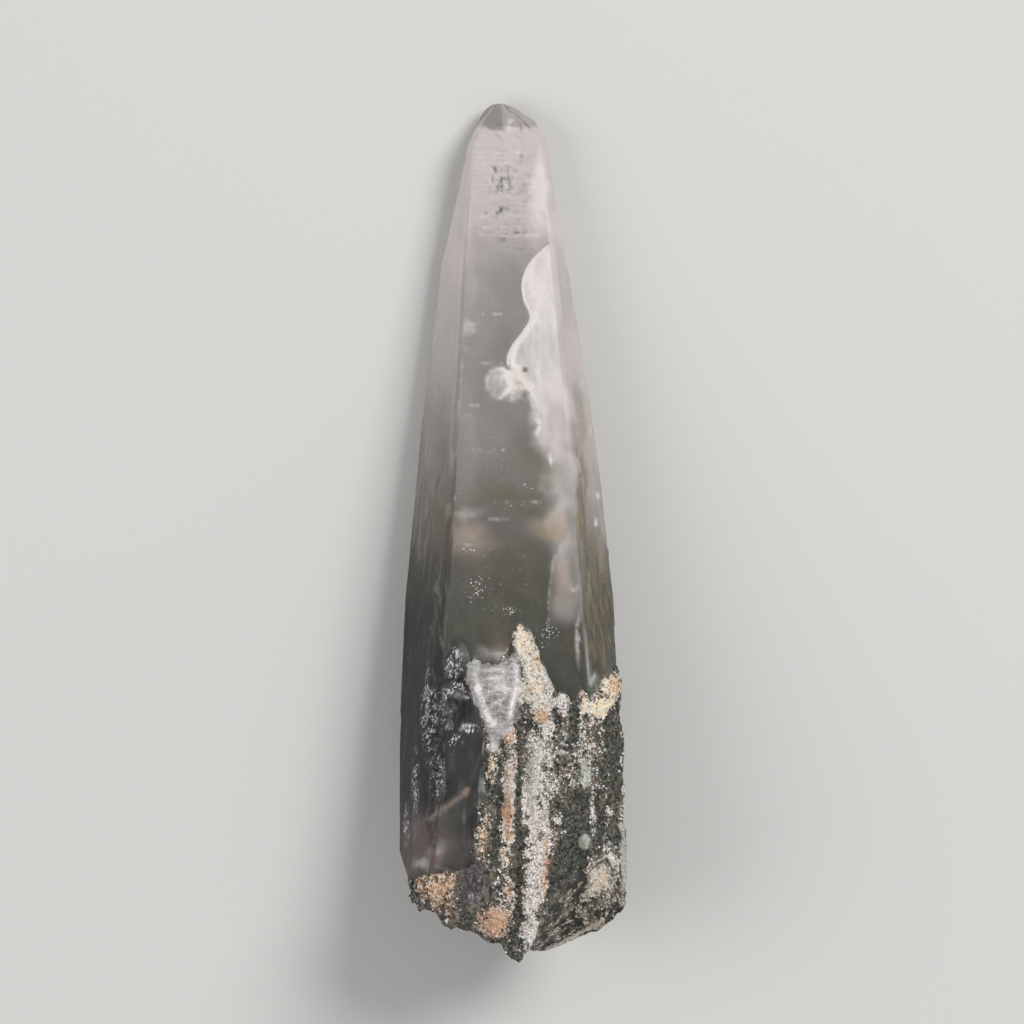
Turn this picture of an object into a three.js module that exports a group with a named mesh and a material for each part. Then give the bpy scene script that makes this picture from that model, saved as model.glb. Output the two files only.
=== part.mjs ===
// A tapered quartz crystal that lies on one of its long faces. Its clear upper end is a
// blunt, worn point, and chlorite and feldspar have grown over its broken root.
// Millimetres. +Y runs from the root to the point, +Z is up, and the crystal rests on z = 0.
import * as THREE from "three";

// Driving dimensions
const LENGTH = 90;
const MIDDLE = { x: 0.15, y: 45 }; // the origin goes under the middle of the crystal
const ROOT_THICKNESS = 19.6;
const THICKNESS_LOST_PER_MM = 0.179;
const FACE_SLOPE = Math.tan(THREE.MathUtils.degToRad(60)); // neighbouring prism faces meet at 120 degrees
const BEVEL_SLOPE = Math.tan(THREE.MathUtils.degToRad(30));

// The two widest edges as seen from above: [distance from the root, sideways place]
const LEFT_EDGE = [
  [0, -9.8],
  [5.5, -10.1],
  [8.1, -10.5],
  [10, -11.2],
  [11.3, -11.6],
  [22.8, -11.6],
  [37.6, -10.95],
  [48.1, -9.95],
  [58.6, -9.0],
  [69.2, -7.7],
  [73.3, -7.2],
  [74.6, -6.85],
  [83.9, -4.75],
  [LENGTH, -3.95],
];
const RIGHT_EDGE = [
  [0, 11.8],
  [12, 11.95],
  [22.8, 11.7],
  [37.6, 10.8],
  [50.2, 9.45],
  [58.6, 8.3],
  [75.5, 5.55],
  [83.9, 4.1],
  [LENGTH, 3.3],
];

// The top face is bounded by two straight edges, each with a narrow bevel outside it
const TOP_FACE_LEFT = { atRoot: -8.43, perMm: 0.0534 };
const TOP_FACE_RIGHT = { atRoot: 10.89, perMm: -0.0909 };
const LEFT_BEVEL_WIDTH = [
  [0, 0.55],
  [72, 0.55],
  [84, 0.3],
  [LENGTH, 0.15],
];
const RIGHT_BEVEL_WIDTH = [
  [0, 0.5],
  [12, 1.1],
  [48, 1.1],
  [75, 0.6],
  [84, 0.25],
  [LENGTH, 0.15],
];

// The worn point: short faces round a blunt apex, which is a short ridge from left to right,
// and a bruised corner on its right
const POINT_LENGTH = 8;
const APEX = new THREE.Vector3(-1.26, LENGTH, 2.0);
const APEX_LEFT = new THREE.Vector3(-2.3, LENGTH, 2.0);
const APEX_RIGHT = new THREE.Vector3(-0.2, LENGTH, 2.0);
const BRUISED_CORNER = new THREE.Vector3(2.84, 88, 2.5);
const POINT_FACES = [
  { normal: new THREE.Vector3(-0.3, 0.62, 0.7), through: APEX },
  { normal: new THREE.Vector3(-0.82, 0.5, 0.28), through: APEX_LEFT },
  { normal: new THREE.Vector3(-0.8, 0.5, -0.3), through: APEX_LEFT },
  { normal: new THREE.Vector3(0.4, 0.72, 0.6), through: APEX_RIGHT },
  { normal: new THREE.Vector3(0.55, 0.86, -0.3), through: APEX_RIGHT },
  { normal: new THREE.Vector3(0, 0.62, -0.78), through: APEX },
  { normal: new THREE.Vector3(0.84, 0.55, 0.1), through: BRUISED_CORNER },
];
const POINT_WEAR = 0.05; // how far the point's edges are rounded, as a share of the section

// The broken root as seen from above: [sideways place, lowest distance along the crystal]
const ROOT_OUTLINE = [
  [-10.4, 4.9],
  [-9.4, 4.7],
  [-8.5, 5.05],
  [-7.7, 4.95],
  [-7.0, 3.6],
  [-6.0, 3.2],
  [-4.3, 3.1],
  [-3.4, 2.75],
  [-2.3, 1.8],
  [-0.9, 1.5],
  [0.1, 0.15],
  [1.5, -0.2],
  [4.1, 0.85],
  [7.5, 2.35],
  [9.2, 2.95],
  [10.85, 4.1],
  [11.7, 5.1],
  [12, 6.2],
];
const LEFT_BREAK_LEAN = 0.2; // on the left the break leans in under the crystal
// On the right it is smoother, slants back above a brow and leans in below it
const RIGHT_BREAK = { from: 0.5, to: 3.5 };
const RIGHT_ROUGHNESS = 0.2;
const BROW_HEIGHT = [
  [3, 11],
  [8.3, 13.5],
  [11.3, 16],
  [12, 17.2],
];
const BROW_SLANT = [
  [1, 0],
  [5.2, 0.75],
  [8.3, 1.5],
  [10.9, 3.2],
];
const BROW_LEAN = 0.3;
const KEEL = { height: 4, lean: 0.4 }; // and everywhere it clears what the crystal rests on
const ROOT_CENTRE = { x: 0.8, z: 8.5 };
const ROOT_STEPS = { size: 3.2, height: 1.5, below: { from: 2, to: 5 } };
const ROOT_GRAIN = { size: 1.1, height: 0.35 };

// A shallow flake has come off the right half of the top face: [along, its left rim]
const FLAKE_RIM = [
  [55.3, 3.7],
  [58.6, 2.6],
  [60.2, 1.5],
  [61.6, 0.05],
  [62.6, -0.3],
  [64.4, 0.2],
  [65.8, 1.25],
  [67.3, 2.1],
  [69.2, 1.45],
  [70.7, 1.25],
  [73.2, 2.1],
  [75.2, 4.0],
];
const FLAKE_DEPTH = 0.4;

// Hollows and mounds are ovals that blend into the face over this share of their half-sizes
const OVAL_BLEND = { from: 0.35, to: 1.15 };
// Etched hollows in the left shoulder
const HOLLOWS = [
  { x: -5.9, y: 28.5, halfWidth: 2.0, halfLength: 5.0, depth: 1.1 },
  { x: -7.4, y: 20.5, halfWidth: 1.7, halfLength: 6.5, depth: 0.9 },
  { x: -0.7, y: 15.5, halfWidth: 0.8, halfLength: 7.5, depth: 0.6 },
  { x: -5.2, y: 19.5, halfWidth: 1.9, halfLength: 3.6, depth: 0.45 },
];
const HOLLOW_JAGS = { size: 1.1, stretch: 1.5, share: 0.35 };
// Mounds of feldspar and milky quartz on the upper faces
const MOUNDS = [
  { x: -7.6, y: 7.4, halfWidth: 2.3, halfLength: 2.2, height: 0.7 },
  { x: -1.4, y: 3.9, halfWidth: 1.9, halfLength: 2.2, height: 0.95 },
  { x: 2.6, y: 28.2, halfWidth: 1.3, halfLength: 2.9, height: 0.6 },
  { x: 1.3, y: 32.6, halfWidth: 1.2, halfLength: 2.2, height: 0.5 },
  { x: 10.1, y: 28.3, halfWidth: 1.5, halfLength: 2.3, height: 0.6 },
  { x: 8.6, y: 12.6, halfWidth: 1.4, halfLength: 2.4, height: 0.5 },
  { x: 3.0, y: 17.5, halfWidth: 1.2, halfLength: 6.5, height: 0.55 },
  { x: 2.0, y: 7.0, halfWidth: 1.1, halfLength: 6.0, height: 0.6 },
  { x: -1.9, y: 27.2, halfWidth: 2.1, halfLength: 4.2, height: 0.4 },
  { x: -3.3, y: 12.0, halfWidth: 0.9, halfLength: 5.5, height: 0.4 },
];

// The crust covers the root end up to this distance: [sideways place, upper limit]
const CRUST_LIMIT = [
  [-12, 9],
  [-6, 10],
  [-4, 20],
  [-1.5, 30],
  [1, 34.5],
  [4, 29.5],
  [8, 28],
  [12, 30],
];
const CRUST_EDGE = { wander: 1.5, size: 2, fade: { from: -2.5, to: 0.5 } };
const CRUST_LUMPS = { size: 1.7, stretch: 2.6, height: 0.5 };
const CRUST_GRAINS = { size: 0.9, stretch: 1.5, height: 0.3 };
// The crust is thinner and more even along the right edge, by this share
const EVEN_RIM = { from: 9.5, to: 11.5, share: 0.8 };

// Growth ledges on the two faces that lean in underneath: [edge from, edge to, rise]
const UNDER_LEDGES = [
  { side: -1, from: 16, to: 61, rise: 0.35 },
  { side: 1, from: 24, to: 52, rise: 0.3 },
  { side: 1, from: 33, to: 78, rise: 0.25 },
];
const LEDGE_SKEW = 1.2; // how far a ledge's ends run along the crystal for each mm of height

// Where relief gives way: between upper and lower faces, next to the resting face, at the point
const ABOVE_WAIST = { from: -1.5, to: 0.8 };
const ABOVE_REST = { from: 0.3, to: 2.5 };
const NEAR_POINT = { from: 82, to: 86 };

// Facets of the model: how many along each side of the section, and the spacing of sections
const SIDE_STEPS = [18, 1, 5, 6, 6, 7, 3, 2];
const SIDES = SIDE_STEPS.length;
const RESTING_SIDE = 4;
const SECTION_SPACING = [
  { to: 36, step: 0.95 },
  { to: 54, step: 2.0 },
  { to: 77, step: 1.25 },
  { to: 85, step: 1.6 },
  { to: 88.4, step: 0.85 },
  { to: 89.6, step: 0.6 },
];
const FIRST_WHOLE_SECTION = 14;
const ROOT_SECTIONS = 11;
const BREAK_RINGS = 7;

// Straight-line value of a profile at a place
function profileAt(profile, place) {
  const last = profile.length - 1;
  if (place <= profile[0][0]) return profile[0][1];
  if (place >= profile[last][0]) return profile[last][1];
  const next = profile.findIndex(([start]) => start > place);
  const [a, b] = [profile[next - 1], profile[next]];
  return THREE.MathUtils.mapLinear(place, a[0], b[0], a[1], b[1]);
}

// 0 before a range, 1 after it, and smooth in between
function fade(value, { from, to }) {
  return THREE.MathUtils.smoothstep(value, from, to);
}

// A repeatable random number from 0 to 1 for a whole-number grid point
function randomAt(i, j, k) {
  const wave = Math.sin(i * 127.1 + j * 311.7 + k * 74.7) * 43758.5453;
  return wave - Math.floor(wave);
}

// Smooth noise from -1 to 1 with lumps of a size, drawn out along the crystal by a stretch
function noise({ size, stretch = 1 }, x, y, z) {
  const place = [x / size, y / (size * stretch), z / size];
  const [i, j, k] = place.map(Math.floor);
  const [u, v, w] = [place[0] - i, place[1] - j, place[2] - k].map((t) => t * t * (3 - 2 * t));
  const mix = THREE.MathUtils.lerp;
  const row = (dj, dk) => mix(randomAt(i, j + dj, k + dk), randomAt(i + 1, j + dj, k + dk), u);
  return 2 * mix(mix(row(0, 0), row(1, 0), v), mix(row(0, 1), row(1, 1), v), w) - 1;
}

// The corners of the section at y, in order from the top face's left corner over the left
// bevel, the left edge, both resting corners, the right edge and the right bevel
function sectionCorners(y) {
  const top = ROOT_THICKNESS - THICKNESS_LOST_PER_MM * y;
  const topLeft = TOP_FACE_LEFT.atRoot + TOP_FACE_LEFT.perMm * y;
  const topRight = TOP_FACE_RIGHT.atRoot + TOP_FACE_RIGHT.perMm * y;
  const leftBevel = profileAt(LEFT_BEVEL_WIDTH, y);
  const rightBevel = profileAt(RIGHT_BEVEL_WIDTH, y);
  const left = profileAt(LEFT_EDGE, y);
  const right = profileAt(RIGHT_EDGE, y);
  const leftShoulder = { x: topLeft - leftBevel, z: top - leftBevel * BEVEL_SLOPE };
  const rightShoulder = { x: topRight + rightBevel, z: top - rightBevel * BEVEL_SLOPE };
  const leftHeight = leftShoulder.z - FACE_SLOPE * (leftShoulder.x - left);
  const rightHeight = rightShoulder.z - FACE_SLOPE * (right - rightShoulder.x);
  return [
    { x: topLeft, z: top },
    leftShoulder,
    { x: left, z: leftHeight },
    { x: left + leftHeight / FACE_SLOPE, z: 0 },
    { x: right - rightHeight / FACE_SLOPE, z: 0 },
    { x: right, z: rightHeight },
    rightShoulder,
    { x: topRight, z: top },
  ];
}

// The points round the section at y, each with its outward direction. Side i runs from
// corner i - 1 to corner i, and the crystal rests on one of them.
function sectionPoints(y) {
  const corners = sectionCorners(y);
  const before = (side) => (side + SIDES - 1) % SIDES;
  const outward = corners.map((corner, side) => {
    const from = corners[before(side)];
    return new THREE.Vector2(corner.z - from.z, from.x - corner.x).normalize();
  });
  const points = [];
  SIDE_STEPS.forEach((steps, side) => {
    const from = corners[before(side)];
    for (let step = 0; step < steps; step++) {
      const direction = outward[side].clone();
      if (step === 0) direction.add(outward[before(side)]).normalize();
      points.push({
        resting: side === RESTING_SIDE || (side === RESTING_SIDE + 1 && step === 0),
        x: THREE.MathUtils.lerp(from.x, corners[side].x, step / steps),
        z: THREE.MathUtils.lerp(from.z, corners[side].z, step / steps),
        outX: direction.x,
        outZ: direction.y,
      });
    }
  });
  return points;
}

// How far along Y the crystal is broken off, for a place in its section
function breakAt(x, z) {
  const aboveBrow = z - profileAt(BROW_HEIGHT, x);
  const slant = profileAt(BROW_SLANT, x) * Math.max(0, aboveBrow);
  const leftLean = LEFT_BREAK_LEAN * Math.max(0, ROOT_THICKNESS - z);
  const rightLean = BROW_LEAN * Math.max(0, -aboveBrow);
  const rightShare = fade(x, RIGHT_BREAK);
  const lean = THREE.MathUtils.lerp(leftLean, rightLean, rightShare);
  const roughness = THREE.MathUtils.lerp(1, RIGHT_ROUGHNESS, rightShare);
  const keel = KEEL.lean * Math.max(0, KEEL.height - z);
  const steps = ROOT_STEPS.height * Math.abs(noise(ROOT_STEPS, x, 0, z));
  const inside = fade(ROOT_THICKNESS - z, ROOT_STEPS.below);
  const grain = ROOT_GRAIN.height * Math.abs(noise(ROOT_GRAIN, x, 0, z));
  return profileAt(ROOT_OUTLINE, x) + slant + lean + keel + roughness * (inside * steps + grain);
}

// 1 at the middle of an oval patch, falling smoothly to 0 at its rim
function ovalPatch(patch, x, y) {
  const reach = Math.hypot((x - patch.x) / patch.halfWidth, (y - patch.y) / patch.halfLength);
  return 1 - fade(reach, OVAL_BLEND);
}

// The flake's floor is deepest at its left rim and runs out at the top face's right edge
function flakeDepth(x, y) {
  const rim = profileAt(FLAKE_RIM, y);
  const faceEdge = TOP_FACE_RIGHT.atRoot + TOP_FACE_RIGHT.perMm * y;
  const inside = y > FLAKE_RIM[0][0] && y < FLAKE_RIM.at(-1)[0] && x > rim && x < faceEdge;
  return inside ? FLAKE_DEPTH * THREE.MathUtils.mapLinear(x, rim, faceEdge, 1, 0) : 0;
}

// How far the upper faces stand out from their planes
function upperRelief(x, y, z) {
  let rise = -flakeDepth(x, y);
  const jagged = 1 - HOLLOW_JAGS.share * (1 - noise(HOLLOW_JAGS, x, y, z));
  for (const hollow of HOLLOWS) rise -= hollow.depth * jagged * ovalPatch(hollow, x, y);
  for (const mound of MOUNDS) rise += mound.height * ovalPatch(mound, x, y);
  return rise;
}

// How far the faces that lean in underneath stand out, between each ledge's two ends
function underRelief(x, y, z) {
  let rise = 0;
  for (const ledge of UNDER_LEDGES) {
    const skew = LEDGE_SKEW * z;
    const within = y > ledge.from + skew && y < ledge.to - skew;
    if (within && Math.sign(x) === ledge.side) rise += ledge.rise;
  }
  return rise;
}

// The crust's lumps, which run along the crystal and go all the way round it
function crustRelief(x, y, z) {
  const limit = profileAt(CRUST_LIMIT, x) + CRUST_EDGE.wander * noise(CRUST_EDGE, x, 0, z);
  const lumps = CRUST_LUMPS.height * noise(CRUST_LUMPS, x, y, z);
  const grains = CRUST_GRAINS.height * noise(CRUST_GRAINS, x, y, z);
  const share = 1 - EVEN_RIM.share * fade(x, EVEN_RIM);
  return share * (1 - fade(y - limit, CRUST_EDGE.fade)) * (lumps + grains);
}

// All of the relief at a point of the section at y
function reliefAt({ x, z, resting }, y) {
  if (resting) return 0;
  const corners = sectionCorners(y);
  const [left, right] = [corners[2], corners[5]];
  const waist = THREE.MathUtils.mapLinear(x, left.x, right.x, left.z, right.z);
  const upper = fade(z - waist, ABOVE_WAIST);
  const relief = THREE.MathUtils.lerp(underRelief(x, y, z), upperRelief(x, y, z), upper);
  return (relief + crustRelief(x, y, z)) * fade(z, ABOVE_REST) * (1 - fade(y, NEAR_POINT));
}

// How much of the section the short faces leave at y, towards a point of it
function pointShare(point, core, y) {
  const toPoint = new THREE.Vector3(point.x - core.x, 0, point.z - core.z);
  const from = new THREE.Vector3(core.x, y, core.z);
  let cut = 1;
  for (const { normal, through } of POINT_FACES) {
    const room = Math.max(normal.dot(through) - normal.dot(from), 0);
    const share = room / Math.max(normal.dot(toPoint), Number.EPSILON);
    cut += Math.pow(Math.max(share, Number.EPSILON), -1 / POINT_WEAR);
  }
  return Math.pow(cut, -POINT_WEAR);
}

// The middle of the section, which moves over to the apex along the point
function coreAt(y) {
  const corners = sectionCorners(y);
  const toApex = fade(y, { from: LENGTH - POINT_LENGTH, to: LENGTH });
  return {
    x: THREE.MathUtils.lerp((corners[2].x + corners[5].x) / 2, APEX.x, toApex),
    z: THREE.MathUtils.lerp(corners[0].z / 2, APEX.z, toApex),
  };
}

// The surface point for one place round the section at y
function surfacePoint(index, y) {
  const point = sectionPoints(y)[index];
  const core = coreAt(y);
  const share = y > LENGTH - POINT_LENGTH ? pointShare(point, core, y) : 1;
  const rise = reliefAt(point, y) * share;
  return new THREE.Vector3(
    THREE.MathUtils.lerp(core.x, point.x, share) + point.outX * rise,
    y,
    THREE.MathUtils.lerp(core.z, point.z, share) + point.outZ * rise,
  );
}

// Where the break crosses each line along the side of the crystal, found by halving
function breakLine() {
  return sectionPoints(0).map((unused, index) => {
    let [low, high] = [-POINT_LENGTH, FIRST_WHOLE_SECTION];
    for (let pass = 0; pass < 24; pass++) {
      const middle = (low + high) / 2;
      const { x, z } = sectionPoints(middle)[index];
      if (breakAt(x, z) > middle) low = middle;
      else high = middle;
    }
    return high;
  });
}

// Rings along the crystal, from the break line to the point
function sideRings() {
  const rings = [];
  const line = breakLine();
  for (let ring = 0; ring < ROOT_SECTIONS; ring++) {
    const along = (start) => THREE.MathUtils.lerp(start, FIRST_WHOLE_SECTION, ring / ROOT_SECTIONS);
    rings.push(line.map((start, index) => surfacePoint(index, along(start))));
  }
  let y = FIRST_WHOLE_SECTION;
  for (const { to, step } of SECTION_SPACING) {
    for (; y < to; y += step) rings.push(line.map((unused, index) => surfacePoint(index, y)));
  }
  return rings;
}

// Rings over the broken root, from its middle out towards its rim
function breakRings(rim) {
  const rings = [];
  for (let ring = 1; ring < BREAK_RINGS; ring++) {
    const place = ({ x, z }) => {
      const outX = THREE.MathUtils.lerp(ROOT_CENTRE.x, x, ring / BREAK_RINGS);
      const outZ = THREE.MathUtils.lerp(ROOT_CENTRE.z, z, ring / BREAK_RINGS);
      return new THREE.Vector3(outX, breakAt(outX, outZ), outZ);
    };
    rings.push(rim.map(place));
  }
  return rings;
}

// Joins rings of equal length into one closed body between two end points
function closedBody(rings, firstEnd, lastEnd) {
  const count = rings[0].length;
  const positions = [firstEnd, ...rings.flat(), lastEnd].flatMap((p) => [p.x, p.y, p.z]);
  const at = (ring, index) => 1 + ring * count + (index % count);
  const lastIndex = 1 + rings.length * count;
  const triangles = [];
  for (let i = 0; i < count; i++) {
    triangles.push(0, at(0, i), at(0, i + 1));
    for (let ring = 0; ring + 1 < rings.length; ring++) {
      const [a, b] = [at(ring, i), at(ring, i + 1)];
      const [c, d] = [at(ring + 1, i), at(ring + 1, i + 1)];
      triangles.push(a, d, b, a, c, d);
    }
    triangles.push(at(rings.length - 1, i + 1), at(rings.length - 1, i), lastIndex);
  }
  const geometry = new THREE.BufferGeometry();
  geometry.setAttribute("position", new THREE.Float32BufferAttribute(positions, 3));
  geometry.setIndex(triangles);
  geometry.computeVertexNormals();
  return geometry;
}

function crystalGeometry() {
  const sides = sideRings();
  const rings = [...breakRings(sides[0]), ...sides];
  const { x, z } = ROOT_CENTRE;
  return closedBody(rings, new THREE.Vector3(x, breakAt(x, z), z), APEX);
}

const quartz = new THREE.MeshStandardMaterial({
  color: 0xa8a39b,
  roughness: 0.25,
  metalness: 0,
  transparent: true,
  opacity: 0.85,
});

const crystal = new THREE.Mesh(crystalGeometry(), quartz);
crystal.name = "quartz_crystal";
crystal.position.set(-MIDDLE.x, -MIDDLE.y, 0);

const group = new THREE.Group();
group.add(crystal);

export default group;
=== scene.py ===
"""A chlorite quartz crystal lying on a pale floor, seen from straight above.

The crystal is one clear to milky body. A lumpy mass of chlorite and feldspar fills its root,
comes out through its faces as a crust, and ends inside it as a blunt green ghost. Loose grains
of feldspar and scales of chlorite cover the crust.

Shapes are worked out in millimetres: x sideways, y from the broken root to the point, z up.
They are moved to the frame's origin and turned into metres when a mesh is made.
"""
import math

import bpy
import numpy as np
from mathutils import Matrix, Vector


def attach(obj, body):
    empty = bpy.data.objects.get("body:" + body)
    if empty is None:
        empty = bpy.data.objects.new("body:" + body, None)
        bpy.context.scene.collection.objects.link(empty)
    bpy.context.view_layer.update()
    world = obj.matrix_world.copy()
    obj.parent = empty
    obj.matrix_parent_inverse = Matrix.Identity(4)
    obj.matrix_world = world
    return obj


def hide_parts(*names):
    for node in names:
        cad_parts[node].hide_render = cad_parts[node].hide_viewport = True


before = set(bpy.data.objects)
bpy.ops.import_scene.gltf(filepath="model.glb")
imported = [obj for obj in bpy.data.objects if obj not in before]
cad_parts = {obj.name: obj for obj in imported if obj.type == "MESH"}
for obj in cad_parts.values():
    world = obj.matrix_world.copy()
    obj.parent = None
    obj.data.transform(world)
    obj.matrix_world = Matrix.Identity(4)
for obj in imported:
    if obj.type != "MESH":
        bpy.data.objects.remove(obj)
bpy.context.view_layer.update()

MM = 0.001
RIDES_ON = "root"
NODE = "quartz_crystal"

# The crystal's plain faces
LENGTH = 90
MIDDLE = (0.15, 45, 0)
ROOT_THICKNESS = 19.6
THICKNESS_LOST_PER_MM = 0.179
FACE_SLOPE = math.tan(math.radians(60))
BEVEL_SLOPE = math.tan(math.radians(30))
LEFT_EDGE = [
    (0, -9.8), (5.5, -10.1), (8.1, -10.5), (10, -11.2), (11.3, -11.6), (22.8, -11.6),
    (37.6, -10.95), (48.1, -9.95), (58.6, -9.0), (69.2, -7.7), (73.3, -7.2), (74.6, -6.85),
    (83.9, -4.75), (90, -3.95),
]
RIGHT_EDGE = [
    (0, 11.8), (12, 11.95), (22.8, 11.7), (37.6, 10.8), (50.2, 9.45), (58.6, 8.3),
    (75.5, 5.55), (83.9, 4.1), (90, 3.3),
]
# The top face's long edges: place sideways at the root, and shift sideways per millimetre along
TOP_FACE_LEFT = (-8.43, 0.0534)
TOP_FACE_RIGHT = (10.89, -0.0909)
LEFT_BEVEL_WIDTH = [(0, 0.55), (72, 0.55), (84, 0.3), (90, 0.15)]
RIGHT_BEVEL_WIDTH = [(0, 0.5), (12, 1.1), (48, 1.1), (75, 0.6), (84, 0.25), (90, 0.15)]
# The sides in their order round the section: each ends at the corner that has its number
SIDES = 8
TOP, LEFT_BEVEL, LEFT_UPPER, LEFT_UNDER, RESTING, RIGHT_UNDER, RIGHT_UPPER, RIGHT_BEVEL = range(SIDES)
WIDEST_CORNERS = (LEFT_UPPER, RIGHT_UNDER)
# The outward direction turns from one face to the next over this distance
CORNER_ROUND = 0.8

# The worn point: short faces round an apex that is a short ridge, and blunt over its last stretch
POINT_LENGTH = 8
BLUNT_LENGTH = 0.9
APEX = (-1.26, 90, 2.0)
APEX_LEFT = (-2.3, 90, 2.0)
APEX_RIGHT = (-0.2, 90, 2.0)
BRUISED_CORNER = (2.84, 88, 2.5)
POINT_FACES = [
    ((-0.3, 0.62, 0.7), APEX),
    ((-0.82, 0.5, 0.28), APEX_LEFT),
    ((-0.8, 0.5, -0.3), APEX_LEFT),
    ((0.4, 0.72, 0.6), APEX_RIGHT),
    ((0.55, 0.86, -0.3), APEX_RIGHT),
    ((0, 0.62, -0.78), APEX),
    ((0.84, 0.55, 0.1), BRUISED_CORNER),
]
POINT_WEAR = 0.05
SMALLEST_SHARE = 0.001

# The broken root
ROOT_OUTLINE = [
    (-10.4, 4.9), (-9.4, 4.7), (-8.5, 5.05), (-7.7, 4.95), (-7.0, 3.6), (-6.0, 3.2), (-4.3, 3.1),
    (-3.4, 2.75), (-2.3, 1.8), (-0.9, 1.5), (0.1, 0.15), (1.5, -0.2), (4.1, 0.85), (7.5, 2.35),
    (9.2, 2.95), (10.85, 4.1), (11.7, 5.1), (12, 6.2),
]
LEFT_BREAK_LEAN = 0.2
RIGHT_BREAK = (0.5, 3.5)
RIGHT_ROUGHNESS = 0.2
BROW_HEIGHT = [(3, 11), (8.3, 13.5), (11.3, 16), (12, 17.2)]
BROW_SLANT = [(1, 0), (5.2, 0.75), (8.3, 1.5), (10.9, 3.2)]
BROW_LEAN = 0.3
KEEL_HEIGHT, KEEL_LEAN = 4, 0.4
ROOT_CENTRE = (0.8, 8.5)
ROOT_STEPS = {"size": 3.2, "height": 1.5, "below": (2, 5)}
ROOT_GRAIN = {"size": 1.1, "height": 0.35}

# Relief of the faces
FLAKE_RIM = [
    (55.3, 3.7), (58.6, 2.6), (60.2, 1.5), (61.6, 0.05), (62.6, -0.3), (64.4, 0.2), (65.8, 1.25),
    (67.3, 2.1), (69.2, 1.45), (70.7, 1.25), (73.2, 2.1), (75.2, 4.0),
]
FLAKE_DEPTH = 0.4
FLAKE_START = (57, 61.5)
OVAL_BLEND = (0.35, 1.15)
CLOUD_BLEND = (0.3, 1.3)
# Ovals are: sideways place, place along the crystal, half width, half length, depth or height
HOLLOWS = [
    (-5.9, 28.5, 2.0, 5.0, 1.1),
    (-7.4, 20.5, 1.7, 6.5, 0.9),
    (-0.7, 15.5, 0.8, 7.5, 0.6),
    (-5.2, 19.5, 1.9, 3.6, 0.45),
]
HOLLOW_JAGS = {"size": 1.1, "stretch": 1.5, "share": 0.35}
MOUNDS = [
    (-7.6, 7.4, 2.3, 2.2, 0.7),
    (-1.4, 3.9, 1.9, 2.2, 0.95),
    (2.6, 28.2, 1.3, 2.9, 0.6),
    (1.3, 32.6, 1.2, 2.2, 0.5),
    (10.1, 28.3, 1.5, 2.3, 0.6),
    (8.6, 12.6, 1.4, 2.4, 0.5),
    (3.0, 17.5, 1.2, 6.5, 0.55),
    (2.0, 7.0, 1.1, 6.0, 0.6),
    (-1.9, 27.2, 2.1, 4.2, 0.4),
    (-3.3, 12.0, 0.9, 5.5, 0.4),
]
CRUST_LIMIT = [(-12, 9), (-6, 10), (-4, 20), (-1.5, 30), (1, 34.5), (4, 29.5), (8, 28), (12, 30)]
CRUST_EDGE = {"wander": 1.5, "size": 2, "fade": (-2.5, 0.5)}
CRUST_LUMPS = {"size": 1.7, "stretch": 2.6, "height": 0.5}
CRUST_GRAINS = {"size": 0.9, "stretch": 1.5, "height": 0.3}
EVEN_RIM = {"from": (9.5, 11.5), "share": 0.8}
UNDER_LEDGES = [(-1, 16, 61, 0.35), (1, 24, 52, 0.3), (1, 33, 78, 0.25)]
LEDGE_SKEW = 1.2
ABOVE_WAIST = {
    "relief": (-1.5, 0.8), "body marks": (-1.5, 0.5), "crust": (-1.2, -0.2), "growth": (-1.0, 0.6),
}
ABOVE_REST = (0.3, 2.5)
NEAR_POINT = (82, 86)
FIRST_WHOLE_SECTION = 14

# Mesh spacing: points along each side of the section, and the distance between sections up to
# each place along the crystal
BODY_STEPS = (84, 3, 24, 34, 14, 34, 18, 5)
BODY_SPACING = [(50, 0.3), (70, 0.26), (89.4, 0.15), (89.98, 0.06)]
MASS_STEPS = (122, 4, 44, 40, 18, 40, 32, 8)
MASS_SPACING = [(36.5, 0.17), (45.8, 0.4)]
# Rings of points over the broken root, from its middle to its rim
BODY_CAP_RINGS, MASS_CAP_RINGS = 30, 44
# The wall of the flake scar takes up this share of the distance between two points
FLAKE_WALL = 0.4
# Halvings that find the break on each line along the crystal
HALVINGS = 24

# The camera: the photo's frame is this wide at the height of the crystal's widest edges
FRAME_WIDTH = 107.8
FRAME_CENTRE = (0.21, 46.85, 7)
CAMERA_DISTANCE = 1500
CAMERA_REACH = 10000
SENSOR = 36


def srgb(red, green, blue):
    """A colour given as it looks on a screen, 0 to 255, as Blender's linear colour."""
    values = [v / 255 for v in (red, green, blue)]
    return (*[v / 12.92 if v <= 0.04045 else ((v + 0.055) / 1.055) ** 2.4 for v in values], 1)


def place(x, y, z):
    """A point in the crystal's millimetres as a point of the frame in metres."""
    return Vector([(value - middle) * MM for value, middle in zip((x, y, z), MIDDLE)])


def make_camera():
    data = bpy.data.cameras.new("camera")
    data.lens = SENSOR * CAMERA_DISTANCE / FRAME_WIDTH
    data.sensor_width = SENSOR
    data.clip_end = CAMERA_REACH * MM
    camera = bpy.data.objects.new("camera", data)
    x, y, z = FRAME_CENTRE
    camera.location = place(x, y, z + CAMERA_DISTANCE)
    bpy.context.scene.collection.objects.link(camera)
    bpy.context.scene.camera = camera


# Numbers that vary over a surface


def profile(table, where):
    return np.interp(where, *zip(*table))


def fade(value, limits):
    """0 before the limits, 1 after them, smooth in between."""
    share = np.clip((value - limits[0]) / (limits[1] - limits[0]), 0, 1)
    return share * share * (3 - 2 * share)


def between(value, start, end):
    """1 from the end of the first limits to the start of the last, fading to 0 over each."""
    return fade(value, start) * (1 - fade(value, end))


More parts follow.
